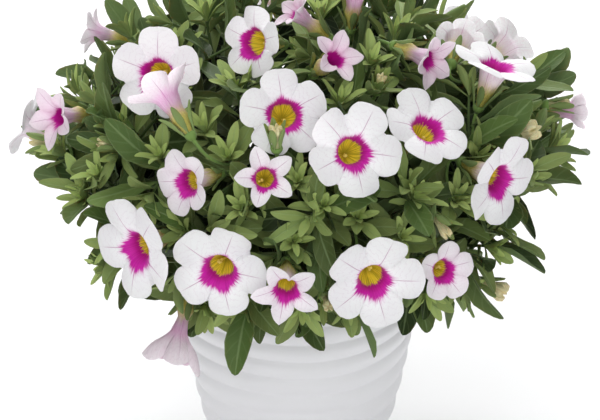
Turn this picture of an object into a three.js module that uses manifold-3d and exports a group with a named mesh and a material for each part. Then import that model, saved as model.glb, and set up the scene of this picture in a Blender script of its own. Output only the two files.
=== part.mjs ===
// A calibrachoa in full bloom, built together with its ribbed cover pot.
// Millimetres, +Z up, origin at the centre of the pot's underside, front towards -Y.
import * as THREE from 'three';
import { mergeVertices } from 'three/addons/utils/BufferGeometryUtils.js';
import Module from 'manifold-3d';

const wasm = await Module();
wasm.setup();

// ------------------------------------------------------------------ driving dimensions

const GAP = 0.3; // air kept between two pieces that touch on the real plant
const WELD = 1e-4; // vertices closer than this are one
const FLATTEN = 0.02; // detail lost where limbs run into one another

const POT = {
  height: 88,
  footRadius: 33,
  flare: 17, // rim radius less foot radius
  flarePower: 1.65,
  wall: 3,
  floor: 4,
  segments: 24,
  insideRows: [1, 0.7, 0.4], // shares of the height, above the floor
};
// The ribs, and how far their lines stray from level, as shares of the pot's height.
const RIBS = { count: 10, depth: 1.2, squeeze: -0.02, rise: -0.04, saddle: 0.06, ripple: 0.01 };
const SOIL = {
  top: 78,
  mound: 2, // how much higher the middle is than the edge
  waistAt: 0.45, // share of the pot's height
  clearance: 0.75, // from the pot's wall, whose facets bend inwards between its rows
  segments: 24,
  holeRadius: 3.2,
  holeDepth: 9,
  holeSides: 4,
};

// The crown is a low dome of foliage; every place on it is an azimuth, a latitude and a
// distance proud of it. Azimuth 0 is the front, +90 the right.
const CROWN = { radius: 112, rise: 70, centre: 138 };

const STEM = {
  footRadius: 1.7,
  forkRadius: 1.3,
  forkAt: 0.42, // share of the way from the foot to its twigs' tips
  lowestFork: 103,
  spring: 16, // how high it rises before it leans
  sides: 3,
  rings: [0.1, 0.4, 0.7],
};
const TWIG = {
  rootAt: [1, 0.9, 0.8], // where each of the three leaves the main stem
  rootRadius: 0.9,
  tipRadius: 0.6,
  depth: 8, // how far its tip stays inside the crown
  rings: [0, 0.5, 1],
  leaderRings: [0.08, 0.5, 1],
};
// A twig that would meet something bows aside and up by these amounts, in this order.
const TWIG_BOWS = [
  [0, 0], [7, 0], [-7, 0], [0, 7], [0, -7], [13, 0], [-13, 0], [9, 9], [-9, 9], [9, -9], [-9, -9],
];
const STALK = { radius: 0.75, seatRadius: 0.35, reach: 0.5, seats: [0.35, 0.5, 0.65, 0.8, 0.95] };

const LEAF = {
  keel: 0.9, // thickness at the midrib
  sunk: 0.01, // where the blade's pointed root lies along it, inside the twig
  shoulders: [[0.36, 0.86], [0.74, 0.9]], // along the blade, share of the half width
  aspect: 0.37, // width over length
  recurve: 0.16, // drop of the tip over the length
  shortest: 0.9, // of its rank's length, and how much longer it may be
  variety: 0.2,
};
// Along the twig, length and angle to the twig of each leaf, from the lowest to the tip.
const LEAF_RANKS = [
  { at: 0.42, length: 25, spread: 66 },
  { at: 0.56, length: 26, spread: 62 },
  { at: 0.7, length: 24, spread: 58 },
  { at: 0.83, length: 21, spread: 52 },
  { at: 0.93, length: 17, spread: 44 },
  { at: 0.99, length: 14, spread: 32 },
];
const FIRST_TURN = 20; // of the lowest leaf about its twig
const GOLDEN_ANGLE = 137.5;
const GOLDEN_SHARE = 0.6180339887;
// A leaf that would touch a neighbour is turned about its twig and tipped, in this order.
const LEAF_BENDS = [
  [0, 0], [0, 16], [0, -16], [24, 0], [-24, 0], [24, 16], [-24, 16], [48, -10], [-48, -10], [0, 30],
];
const LEAF_SHRINK = [1, 0.75]; // it is made smaller only when no turn helps

const BLOOM = {
  throat: 4.2, // radius of the mouth of the tube
  lip: 0.2, // the mouth's corners stand out by this
  collar: 1, // wall at the mouth
  wall: 0.8,
  midway: 0.5, // share of the limb where its facets part
  tube: 16,
  tubeFoot: 1.4,
  pit: 7, // depth of the hollow in the tube
  throatFlare: 20, // angle between the funnel and the axis at the throat
  funnel: 0.6, // share of the limb over which the funnel turns out
  reflex: 0.8, // how far the rim of an open bloom rolls back
  shutAngle: 28, // the limb's angle to the axis in a shut bloom, and how much it opens
  openAngle: 62,
  lobes: 5,
};
const LOBE = { flatFrom: 0.8, notch: 0.27, fold: 1.1, deepest: 0.6, blunt: 4, point: 6, sharpest: 1.8 };
const BUD = { waistAt: 0.35, waist: 0.75, mouthAt: 0.05, tip: 0.1 }; // shares of length and mouth
const CALYX = { floor: 2.0, rim: 2.6, tip: 6.2, sepal: 11, rimDrop: 0.6, foot: 2.6, clearance: 0.05 };

// name, azimuth, latitude, proud, turn, lift, open, reach, roll
const BLOOMS = [
  ['bloom_01', -123, 29, 7, -102, 12, 0.42, 13.5, 20],
  ['bloom_02', -35, 40, 7, -14, 14, 0.84, 19, 54],
  ['bloom_03', -26, 31, 16, -128, 48, 0.6, 15.5, 0],
  ['bloom_04', -13, 53, 6, -40, 12, 0.8, 15, 54],
  ['bloom_05', 0, 64, 6, -70, 40, 0.35, 11.5, 0],
  ['bloom_06', 10, 48, 6, 34, 32, 0.5, 12.5, 24],
  ['bloom_07', 30, 68, 10, 20, 74, 0.55, 14.5, 0],
  ['bloom_08', 36, 45, 6, 48, -10, 0.5, 13.5, 0],
  ['bloom_09', 51, 37, 9, 66, 70, 0.84, 18.5, 0],
  ['bloom_10', 114, 31, 0, 134, 24, 0.8, 15, 0],
  ['bloom_11', -3, 33, 4, 6, 26, 0.84, 18, 61],
  ['bloom_12', 10, 22, 8, 16, 20, 0.84, 19.5, 23],
  ['bloom_13', 26, 26, 6, 32, 46, 0.84, 18.5, 56],
  ['bloom_14', -60, 23, 3, -44, 6, 0.5, 15.5, 20],
  ['bloom_15', -20, 14, 5, -40, 3, 0.62, 14.5, 8],
  ['bloom_16', -6, 16, 5, 4, 20, 0.55, 13.5, 0],
  ['bloom_17', 39, 11, 6, 46, -10, 0.84, 19.5, 30],
  ['bloom_18', -29, -5, 6, -46, -6, 0.84, 22, 10],
  ['bloom_19', -14, -9, 5, -12, -6, 0.84, 20, 32],
  ['bloom_20', -2, -12, 9, 0, -15, 0.55, 16, 6],
  ['bloom_21', 13, -10, 9, 12, -8, 0.84, 20.5, 34],
  ['bloom_22', 28, -13, 4, 28, 6, 0.55, 13.5, 48],
  ['bloom_23', -32, -42, 6, -40, -64, 0.3, 16.5, 0],
  ['bloom_24', -94, 8, 0, -94, 24, 0.8, 17, 0],
  ['bloom_25', 87, 15, 3, 95, 2, 0.3, 9.5, 0],
  ['bloom_26', 64, 51, -1, 165, 20, 0.8, 11, 0],
  ['bloom_27', 126, 6, 6, 122, 4, 0.84, 19, 15],
  ['bloom_28', 138, 22, 6, 138, 18, 0.84, 18, 40],
  ['bloom_29', 152, -6, 6, 150, 0, 0.84, 19.5, 5],
  ['bloom_30', 172, 14, 6, 175, 12, 0.55, 15, 0],
  ['bloom_31', -174, 38, 6, -172, 36, 0.84, 18.5, 25],
  ['bloom_32', -160, -8, 6, -162, 0, 0.84, 18, 10],
  ['bloom_33', -146, 14, 6, -146, 14, 0.84, 19, 0],
  ['bloom_34', -126, -10, 5, -122, 0, 0.6, 15, 30],
];

// name, azimuth, latitude, proud, turn, lift, mouth radius, length
const BUDS = [
  ['faded_bloom_1', 56, 20, 4, 62, 25, 3.8, 13],
  ['faded_bloom_2', 60, -36, 5, 75, -22, 3.8, 12],
  ['bud_1', 28, -2, 4, 40, -35, 2.0, 10],
  ['bud_2', -68, 13, 3, -95, 5, 2.2, 9],
  ['bud_3', 6, -22, 5, 12, -12, 2.0, 8],
];

// name, azimuth and radius of the foot in the soil, arch of its twigs, and the azimuth
// and latitude of each twig's tip
const STEMS = [
  ['stem_left_low', -70, 26, 0, [[-62, 12], [-46, 10], [-50, 0]]],
  ['stem_left_middle', -48, 20, 0, [[-31, 21], [-44, 27], [-72, 31]]],
  ['stem_front_left', -22, 17, 0, [[-15, 23], [-22, 31], [-18, 46]]],
  ['stem_front_centre', 6, 15, 0, [[0, 16], [5, 8], [11, 41]]],
  ['stem_front_low', -12, 27, 0.05, [[-1, -5], [-11, 6], [-23, -4]]],
  ['stem_front_foot', 1, 37, 0.22, [[1, -36], [-13, -38], [12, -34]]],
  ['stem_front_right', 20, 28, 0.05, [[12, 3], [24, 8], [21, -6]]],
  ['stem_right_middle', 46, 24, 0, [[34, 5], [45, 22], [56, 4]]],
  ['stem_right_foot', 44, 37, 0.22, [[34, -34], [52, -40], [46, -18]]],
  ['stem_left_foot', -38, 37, 0.22, [[-27, -42], [-50, -28], [-42, -14]]],
  ['stem_top_right', 40, 9, 0, [[26, 54], [48, 62], [20, 76]]],
  ['stem_right_far', 78, 25, 0, [[74, 8], [86, 30], [68, 42]]],
  ['stem_top_left', -70, 9, 0, [[-72, 69], [-104, 48], [-50, 55]]],
  ['stem_top_back', 170, 10, 0, [[172, 64], [-146, 70], [112, 70]]],
  ['stem_back_right', 122, 25, 0.05, [[100, -12], [130, -22], [128, 18]]],
  ['stem_back', 176, 22, 0.05, [[160, 20], [175, -14], [150, 60]]],
  ['stem_back_left', -128, 25, 0.05, [[-118, 14], [-138, -18], [-150, 48]]],
];

// ------------------------------------------------------------------ plant geometry helpers

const UP = new THREE.Vector3(0, 0, 1);
const radians = THREE.MathUtils.degToRad;

// The unit vector that looks towards an azimuth and is lifted above the horizon.
function facing(turn, lift) {
  const flat = Math.cos(radians(lift));
  return new THREE.Vector3(
    Math.sin(radians(turn)) * flat,
    -Math.cos(radians(turn)) * flat,
    Math.sin(radians(lift)),
  );
}

// A point a given distance proud of the crown's dome.
function onCrown(azimuth, latitude, proud) {
  const out = facing(azimuth, latitude);
  const point = new THREE.Vector3(
    CROWN.radius * out.x,
    CROWN.radius * out.y,
    CROWN.centre + CROWN.rise * out.z,
  );
  const normal = new THREE.Vector3(out.x / CROWN.radius, out.y / CROWN.radius, out.z / CROWN.rise);
  return point.addScaledVector(normal.normalize(), proud);
}

// The turn of a bloom: its axis along +Z of its own frame, its side level.
function bloomFrame(turn, lift, roll) {
  const axis = facing(turn, lift);
  const side = new THREE.Vector3().crossVectors(UP, axis).normalize();
  const top = new THREE.Vector3().crossVectors(axis, side);
  const frame = new THREE.Matrix4().makeBasis(side, top, axis);
  return frame.multiply(new THREE.Matrix4().makeRotationZ(radians(roll)));
}

// ------------------------------------------------------------------ skins and solids

// Triangles between two neighbouring rings, where one may be a point or have twice the
// vertices of the other.
function stitch(lower, upper, triangles) {
  const small = lower.length <= upper.length ? lower : upper;
  const large = small === lower ? upper : lower;
  const flip = small !== lower;
  const add = (a, b, c) => triangles.push(flip ? [a, c, b] : [a, b, c]);
  const ratio = small.length === 1 ? 0 : large.length / small.length;
  large.forEach((corner, i) => {
    const next = large[(i + 1) % large.length];
    if (ratio === 0) {
      add(small[0], next, corner);
      return;
    }
    const from = small[Math.round(i / ratio) % small.length];
    const to = small[Math.round((i + 1) / ratio) % small.length];
    add(from, next, corner);
    if (to !== from) {
      add(from, to, next);
    }
  });
}

// Each quad between two rings of the same size is drawn out to a peak of its own.
function drawOut(lower, upper, peaks, triangles) {
  peaks.forEach((peak, i) => {
    const next = (i + 1) % peaks.length;
    triangles.push([lower[i], lower[next], peak]);
    triangles.push([lower[next], upper[next], peak]);
    triangles.push([upper[next], upper[i], peak]);
    triangles.push([upper[i], lower[i], peak]);
  });
}

// A closed BufferGeometry over a row of rings of points; open ends are capped flat. With
// peaks, the last band is drawn out to them.
function skin(rings, peaks = []) {
  const points = [...rings.flat(), ...peaks];
  let first = 0;
  const numbered = rings.map((ring) => {
    const numbers = ring.map((_, i) => first + i);
    first += ring.length;
    return numbers;
  });
  const triangles = [];
  numbered.slice(1).forEach((ring, i) => {
    if (peaks.length > 0 && i === numbered.length - 2) {
      drawOut(numbered[i], ring, peaks.map((_, k) => first + k), triangles);
    } else {
      stitch(numbered[i], ring, triangles);
    }
  });
  const start = numbered[0];
  const end = numbered[numbered.length - 1];
  for (let i = 2; i < start.length; i += 1) {
    triangles.push([start[0], start[i], start[i - 1]]);
  }
  for (let i = 2; i < end.length; i += 1) {
    triangles.push([end[0], end[i - 1], end[i]]);
  }
  const volume = triangles.reduce((sum, [a, b, c]) => {
    const normal = new THREE.Vector3().crossVectors(points[b], points[c]);
    return sum + points[a].dot(normal);
  }, 0);
  const outward = volume > 0 ? triangles : triangles.map(([a, b, c]) => [a, c, b]);
  const geometry = new THREE.BufferGeometry().setFromPoints(points);
  geometry.setIndex(outward.flat());
  return geometry;
}

function solidOf(geometry) {
  const bare = geometry.clone();
  bare.deleteAttribute('normal');
  bare.deleteAttribute('uv');
  const merged = mergeVertices(bare, WELD);
  return new wasm.Manifold(new wasm.Mesh({
    numProp: 3,
    vertProperties: new Float32Array(merged.attributes.position.array),
    triVerts: new Uint32Array(merged.index.array),
  }));
}

function geometryOf(solid) {
  const mesh = solid.getMesh();
  const geometry = new THREE.BufferGeometry();
  geometry.setAttribute('position', new THREE.BufferAttribute(mesh.vertProperties, 3));
  geometry.setIndex(new THREE.BufferAttribute(mesh.triVerts, 1));
  geometry.computeVertexNormals();
  return geometry;
}

// ------------------------------------------------------------------ pot and soil

function potRadius(height) {
  const below = 1 - height / POT.height;
  return POT.footRadius + POT.flare * (1 - Math.max(below, 0) ** POT.flarePower);
}

// Height of the rib line a share of the way up the wall, which wanders round the pot.
function ribHeight(share, angle) {
  const bulge = Math.sin(Math.PI * share);
  const squeeze = -(RIBS.squeeze * Math.sin(angle) + RIBS.rise) * bulge ** 2;
  const saddle = RIBS.saddle * Math.sin(angle) ** 2 * bulge;
  const ripple = RIBS.ripple * Math.sin(3 * angle + 5 * share) * bulge;
  return POT.height * (share + squeeze + saddle + ripple);
}

function potWall(share, angle) {
  const height = ribHeight(share, angle);
  const relief = RIBS.depth * Math.abs(Math.sin(Math.PI * RIBS.count * share));
  return { height, radius: potRadius(height) - RIBS.depth / 2 + relief };
}

// The wall's rows follow the ribs' creases and crests; inside it is a plain bowl.
function potGeometry() {
  const rows = 2 * RIBS.count;
  const wallPoint = (share, wall) => {
    const height = POT.height * share;
    return new THREE.Vector2(potRadius(height) - wall, height);
  };
  const profile = [
    new THREE.Vector2(0, 0),
    ...Array.from({ length: rows + 1 }, (_, row) => wallPoint(row / rows, 0)),
    ...[...POT.insideRows, POT.floor / POT.height].map((share) => wallPoint(share, POT.wall)),
    new THREE.Vector2(0, POT.floor),
  ];
  const geometry = new THREE.LatheGeometry(profile, POT.segments);
  geometry.rotateX(Math.PI / 2);
  const position = geometry.attributes.position;
  for (let i = 0; i < position.count; i += 1) {
    const row = (i % profile.length) - 1;
    if (row >= 0 && row <= rows) {
      const angle = Math.atan2(position.getX(i), -position.getY(i));
      const wall = potWall(row / rows, angle);
      position.setXYZ(i, Math.sin(angle) * wall.radius, -Math.cos(angle) * wall.radius, wall.height);
    }
  }
  return geometry;
}

function soilSolid() {
  const heights = [POT.floor + GAP, SOIL.waistAt * POT.height, SOIL.top];
  const profile = [new THREE.Vector2(0, heights[0])];
  heights.forEach((height) => {
    profile.push(new THREE.Vector2(potRadius(height) - POT.wall - SOIL.clearance, height));
  });
  profile.push(new THREE.Vector2(0, SOIL.top + SOIL.mound));
  const geometry = new THREE.LatheGeometry(profile, SOIL.segments);
  geometry.rotateX(Math.PI / 2);
  let soil = solidOf(geometry);
  STEMS.forEach(([, azimuth, radius]) => {
    const { holeRadius, holeDepth, holeSides } = SOIL;
    const hole = new THREE.CylinderGeometry(holeRadius, holeRadius, 2 * holeDepth, holeSides);
    hole.rotateX(Math.PI / 2);
    const foot = facing(azimuth, 0).multiplyScalar(radius);
    hole.translate(foot.x, foot.y, SOIL.top);
    soil = soil.subtract(solidOf(hole));
  });
  return soil;
}

// ------------------------------------------------------------------ blooms

// How far the funnel has opened along a share of the limb's length: radius and height.
function limbPoint(share, open, reach) {
  const length = reach - BLOOM.throat;
  const rim = radians(BLOOM.shutAngle + BLOOM.openAngle * open);
  const start = radians(BLOOM.throatFlare);
  const turned = Math.min(share / BLOOM.funnel, 1);
  const bend = (BLOOM.funnel / 3) * (1 - (1 - turned) ** 3);
  const out = Math.sin(rim) * share + (Math.sin(start) - Math.sin(rim)) * bend;
  const along = Math.cos(rim) * share + (Math.cos(start) - Math.cos(rim)) * bend;
  return {
    radius: BLOOM.throat + length * out,
    height: length * along - BLOOM.reflex * open * share ** 3,
    slope: rim,
  };
}

// Where the lobed rim ends, as a share of the limb: 1 at a lobe's middle, less between two.
// A half-open bloom still folds its lobes' edges in, so it is a star with deep notches.
function lobedRim(across, open) {
  const folded = Math.max(LOBE.flatFrom - open, 0);
  const notch = Math.min(LOBE.notch + LOBE.fold * folded, LOBE.deepest);
  const blunt = Math.max(LOBE.blunt - LOBE.point * folded, LOBE.sharpest);
  return 1 - notch * Math.abs(across) ** blunt;
}

// A ring of the corolla at a share of the limb, on its inside or a wall's depth behind.
function corollaRing(count, share, open, reach, wall) {
  return Array.from({ length: count }, (_, i) => {
    const turn = i / count;
    const across = ((turn * BLOOM.lobes) % 1) * 2 - 1;
    const limb = limbPoint(share * lobedRim(across, open), open, reach);
    const radius = limb.radius + wall * Math.cos(limb.slope);
    const height = limb.height - wall * Math.sin(limb.slope);
    const angle = 2 * Math.PI * turn;
    return new THREE.Vector3(Math.cos(angle) * radius, Math.sin(angle) * radius, height);
  });
}

function levelRing(count, radius, height) {
  return Array.from({ length: count }, (_, i) => {
    const angle = (2 * Math.PI * i) / count;
    return new THREE.Vector3(Math.cos(angle) * radius, Math.sin(angle) * radius, height);
  });
}

// Tube, funnel and five-lobed limb in one skin: in at the throat, out at the rim.
function corollaGeometry(open, reach) {
  const n = BLOOM.lobes;
  const mouth = BLOOM.throat + BLOOM.lip;
  return skin([
    [new THREE.Vector3(0, 0, -BLOOM.pit)],
    levelRing(n, mouth, 0),
    corollaRing(2 * n, BLOOM.midway, open, reach, 0),
    corollaRing(4 * n, 1, open, reach, 0),
    corollaRing(2 * n, BLOOM.midway, open, reach, BLOOM.wall),
    levelRing(n, mouth + BLOOM.collar, 0),
    levelRing(n, BLOOM.tubeFoot, -BLOOM.tube),
  ]);
}

// A bud or a faded trumpet: a slim tube that widens to a puckered mouth.
function budGeometry(mouth, length) {
  return skin([
    levelRing(BLOOM.lobes, BLOOM.tubeFoot, -length),
    levelRing(BLOOM.lobes, BUD.waist * mouth, -BUD.waistAt * length),
    levelRing(BLOOM.lobes, mouth, -BUD.mouthAt * length),
    [new THREE.Vector3(0, 0, BUD.tip * length)],
  ]);
}

// The green cup behind a tube of a given length: its outer and inner rim, and the tips of
// its sepals, each between two corners of the rim.
function calyxRings(tube, place) {
  const n = BLOOM.lobes;
  const floor = -tube - GAP - CALYX.clearance;
  const rim = levelRing(n, CALYX.rim, floor - CALYX.rimDrop);
  const cup = levelRing(n, CALYX.floor, floor);
  const tips = levelRing(2 * n, CALYX.tip, floor + CALYX.sepal).filter((_, i) => i % 2 === 1);
  return [rim, cup, tips].map((ring) => ring.map((point) => point.applyMatrix4(place)));
}

// ------------------------------------------------------------------ stems, twigs and leaves

// A tapered stalk over a row of points, its flats turned by a fixed side vector.
function stalkRings(points, tangents, radii, sides, across) {
  return points.map((point, k) => {
    const along = tangents[k].clone().normalize();
    const side = across.clone().addScaledVector(along, -across.dot(along)).normalize();
    const other = new THREE.Vector3().crossVectors(along, side);
    return Array.from({ length: sides }, (_, i) => {
      const angle = (2 * Math.PI * i) / sides;
      return point.clone()
        .addScaledVector(side, radii[k] * Math.cos(angle))
        .addScaledVector(other, radii[k] * Math.sin(angle));
    });
  });
}

// One leaf: a flat-topped blade with a keel below its midrib, curling away from its twig.
function leafGeometry(root, along, upper, length, width) {
  const side = new THREE.Vector3().crossVectors(along, upper);
  const midrib = (share) => root.clone()
    .addScaledVector(along, length * share)
    .addScaledVector(upper, -LEAF.recurve * length * share ** 2);
  const section = (share, half) => {
    const middle = midrib(share);
    return [
      middle.clone().addScaledVector(side, -half),
      middle.clone().addScaledVector(side, half),
      middle.clone().addScaledVector(upper, -LEAF.keel),
    ];
  };
  return skin([
    [midrib(LEAF.sunk)],
    ...LEAF.shoulders.map(([share, part]) => section(share, (part * width) / 2)),
    [midrib(1)],
  ]);
}

// ------------------------------------------------------------------ where things grow

// A repeatable draw between 0 and 1, evenly spread over its counter.
function draw(counter) {
  return (counter * GOLDEN_SHARE) % 1;
}

function tangentAt(curve, share) {
  const early = curve.v1.clone().sub(curve.v0).multiplyScalar(1 - share);
  const late = curve.v2.clone().sub(curve.v1).multiplyScalar(share);
  return early.add(late).normalize();
}

// Rings along a curve, tapering from its start to its end.
function curveRings(curve, shares, [startRadius, endRadius], sides, across) {
  return stalkRings(
    shares.map((t) => curve.getPoint(t)),
    shares.map((t) => tangentAt(curve, t)),
    shares.map((t) => startRadius + (endRadius - startRadius) * t),
    sides,
    across,
  );
}

// A main stem's path from the soil's top to its fork, where its twigs part.
function mainCurve([, azimuth, radius, , tips]) {
  const foot = facing(azimuth, 0).multiplyScalar(radius);
  foot.z = SOIL.top;
  const middle = new THREE.Vector3();
  tips.forEach(([tipAzimuth, latitude]) => {
    middle.addScaledVector(onCrown(tipAzimuth, latitude, -TWIG.depth), 1 / tips.length);
  });
  const fork = foot.clone().lerp(middle, STEM.forkAt);
  fork.z = Math.max(fork.z, STEM.lowestFork);
  const above = foot.clone().addScaledVector(UP, STEM.spring);
  return new THREE.QuadraticBezierCurve3(foot, above, fork);
}

// The main stem with its first twig, in one run from the bottom of its hole.
function leaderGeometry(stem, twig) {
  const main = mainCurve(stem);
  const across = facing(stem[1] + 90, 0);
  const buried = main.v0.clone().addScaledVector(UP, GAP - SOIL.holeDepth);
  return skin([
    ...stalkRings([buried], [UP], [STEM.footRadius], STEM.sides, across),
    ...curveRings(main, STEM.rings, [STEM.footRadius, STEM.forkRadius], STEM.sides, across),
    ...curveRings(twig, TWIG.leaderRings, [STEM.forkRadius, TWIG.tipRadius], STEM.sides, across),
  ]);
}

function sideTwigGeometry(twig, across) {
  return skin(curveRings(twig, TWIG.rings, [TWIG.rootRadius, TWIG.tipRadius], STEM.sides, across));
}

// Where a limb sits on a twig: on the axis of its facets, which cut its curve's corners.
function onTwig(twig, share) {
  const [start, middle, end] = twig.rings;
  const [from, to] = share < middle ? [start, middle] : [middle, end];
  const low = twig.curve.getPoint(from);
  return low.lerp(twig.curve.getPoint(to), (share - from) / (to - from));
}

function twigCurve(stem, number, [sideways, upward]) {
  const [azimuth, latitude] = stem[4][number];
  const root = mainCurve(stem).getPoint(TWIG.rootAt[number]);
  const tip = onCrown(azimuth, latitude, -TWIG.depth);
  const bow = root.clone().lerp(tip, 0.5);
  bow.addScaledVector(UP, stem[3] * root.distanceTo(tip) + upward);
  bow.addScaledVector(facing(azimuth + 90, 0), sideways);
  return new THREE.QuadraticBezierCurve3(root, bow, tip);
}

// A flower's stalk with its calyx: from a seat on a twig, in behind the flower's axis.
function stalkGeometry(flower, seat) {
  const reach = STALK.reach * flower.foot.distanceTo(seat);
  const bow = flower.foot.clone().addScaledVector(flower.axis, -reach);
  const curve = new THREE.QuadraticBezierCurve3(seat, bow, flower.foot);
  const radii = [STALK.seatRadius, STALK.radius];
  const [rim, cup, tips] = flower.calyx;
  const stalk = curveRings(curve, TWIG.rings, radii, BLOOM.lobes, flower.across);
  return skin([...stalk, rim, cup], tips);
}

function leafOnTwig(twig, rank, spin, spread, length) {
  const along = tangentAt(twig.curve, rank.at);
  const side = twig.across.clone().addScaledVector(along, -twig.across.dot(along)).normalize();
  const other = new THREE.Vector3().crossVectors(along, side);
  const outward = side.multiplyScalar(Math.cos(radians(spin)))
    .addScaledVector(other, Math.sin(radians(spin)));
  const [flat, steep] = [Math.cos(radians(spread)), Math.sin(radians(spread))];
  const axis = along.clone().multiplyScalar(flat).addScaledVector(outward, steep);
  const upper = along.clone().multiplyScalar(steep).addScaledVector(outward, -flat);
  return leafGeometry(onTwig(twig, rank.at), axis, upper, length, length * LEAF.aspect);
}

// ------------------------------------------------------------------ growing the plant

const grown = []; // every solid so far, with its node and the limb of it that it is

function boxesMeet(a, b) {
  return [0, 1, 2].every((k) => a.min[k] - GAP < b.max[k] && b.min[k] - GAP < a.max[k]);
}

function isClear(solid, joins) {
  const box = solid.boundingBox();
  return grown.every((other) => (
    joins(other) || !boxesMeet(box, other.box) || solid.minGap(other.solid, GAP) >= GAP
  ));
}

function keep(solid, node, limb) {
  grown.push({ solid, node, limb, box: solid.boundingBox() });
}

// Grows the first of several choices whose shape touches nothing but what it joins, and
// returns that choice, or nothing where none is clear.
function growFirstClear(choices, shapeOf, nodeOf, limb, joins) {
  return choices.find((choice) => {
    const solid = solidOf(shapeOf(choice));
    const clear = isClear(solid, (other) => joins(other, choice));
    if (clear) {
      keep(solid, nodeOf(choice), limb);
    } else {
      solid.delete();
    }
    return clear;
  });
}

const FINISH = {
  pot: { color: 0xe6e7e9, roughness: 0.45, metalness: 0 },
  soil: { color: 0x3b2c22, roughness: 1, metalness: 0 },
  leaf: { color: 0x557a3d, roughness: 0.7, metalness: 0 },
  petal: { color: 0xf1ecf4, roughness: 0.6, metalness: 0 },
  faded: { color: 0xe9dba4, roughness: 0.75, metalness: 0 },
};

const plant = new THREE.Group();

function addMesh(name, geometry, finish, place = new THREE.Matrix4()) {
  const mesh = new THREE.Mesh(geometry, new THREE.MeshStandardMaterial(FINISH[finish]));
  mesh.name = name;
  place.decompose(mesh.position, mesh.quaternion, mesh.scale);
  plant.add(mesh);
}

// The pot, and the soil that fills it.
const soil = soilSolid();
keep(solidOf(potGeometry()), 'pot');
keep(soil, 'soil');
addMesh('pot', potGeometry(), 'pot');
addMesh('soil', geometryOf(soil), 'soil');

// Corollas, buds and faded blooms: each a node, with its calyx and stalk still to grow.
const flowers = [];

function addFlower(name, geometry, finish, place, tube) {
  keep(solidOf(geometry.clone().applyMatrix4(place)), name);
  addMesh(name, geometry, finish, place);
  flowers.push({
    foot: new THREE.Vector3(0, 0, -tube - CALYX.foot).applyMatrix4(place),
    across: new THREE.Vector3().setFromMatrixColumn(place, 0),
    axis: new THREE.Vector3().setFromMatrixColumn(place, 2),
    calyx: calyxRings(tube, place),
  });
}

BLOOMS.forEach(([name, azimuth, latitude, proud, turn, lift, open, reach, roll]) => {
  const place = bloomFrame(turn, lift, roll).setPosition(onCrown(azimuth, latitude, proud));
  addFlower(name, corollaGeometry(open, reach), 'petal', place, BLOOM.tube);
});
BUDS.forEach(([name, azimuth, latitude, proud, turn, lift, mouth, length]) => {
  const place = bloomFrame(turn, lift, 0).setPosition(onCrown(azimuth, latitude, proud));
  addFlower(name, budGeometry(mouth, length), 'faded', place, length);
});

// Each main stem with its first twig, then the side twigs; a twig bows aside where it
// would meet something.
const twigs = [];

function growTwig(stem, number) {
  const limb = `${stem[0]} twig ${number}`;
  const across = facing(stem[4][number][0] + 90, 0);
  const shapeOf = (bow) => {
    const curve = twigCurve(stem, number, bow);
    return number === 0 ? leaderGeometry(stem, curve) : sideTwigGeometry(curve, across);
  };
  const ownStem = (other) => other.node === stem[0];
  const bow = growFirstClear(TWIG_BOWS, shapeOf, () => stem[0], limb, ownStem);
  if (bow) {
    const rings = number === 0 ? TWIG.leaderRings : TWIG.rings;
    twigs.push({ node: stem[0], limb, across, rings, curve: twigCurve(stem, number, bow) });
  }
}

STEMS.forEach((stem) => growTwig(stem, 0));
STEMS.forEach((stem) => [1, 2].forEach((number) => growTwig(stem, number)));

// Each flower's stalk goes to the nearest place on a twig that it can reach.
const seats = twigs.flatMap((twig) => (
  STALK.seats.map((share) => ({ twig, point: onTwig(twig, share) }))
));
flowers.forEach((flower) => {
  const nearest = [...seats].sort((a, b) => (
    a.point.distanceTo(flower.foot) - b.point.distanceTo(flower.foot)
  ));
  const shapeOf = (seat) => stalkGeometry(flower, seat.point);
  const nodeOf = (seat) => seat.twig.node;
  const ownTwig = (other, seat) => other.limb === seat.twig.limb;
  growFirstClear(nearest, shapeOf, nodeOf, 'stalk', ownTwig);
});

// Leaves in a spiral up each twig.
twigs.forEach((twig, t) => LEAF_RANKS.forEach((rank, r) => {
  const counter = t * LEAF_RANKS.length + r;
  const length = rank.length * (LEAF.shortest + LEAF.variety * draw(counter));
  const choices = LEAF_SHRINK.flatMap((share) => LEAF_BENDS.map(([turn, tip]) => [share, turn, tip]));
  const shapeOf = ([share, turn, tip]) => leafOnTwig(
    twig, rank, FIRST_TURN + GOLDEN_ANGLE * counter + turn, rank.spread + tip, length * share,
  );
  const ownTwig = (other) => other.limb === twig.limb;
  growFirstClear(choices, shapeOf, () => twig.node, 'leaf', ownTwig);
}));

// Each stem with its twigs, stalks, calyces and leaves becomes one solid.
STEMS.forEach(([name]) => {
  const pieces = grown.filter((piece) => piece.node === name).map((piece) => piece.solid);
  const whole = wasm.Manifold.union(pieces).simplify(FLATTEN);
  addMesh(name, geometryOf(whole), 'leaf');
});

export default plant;
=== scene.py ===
"""A calibrachoa in full bloom in its ribbed white cover pot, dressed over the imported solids.

Sizes inside the script are in millimetres, and become metres when a mesh is made. Azimuth 0 is
the front (-Y) and +90 the right (+X).
"""

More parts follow.
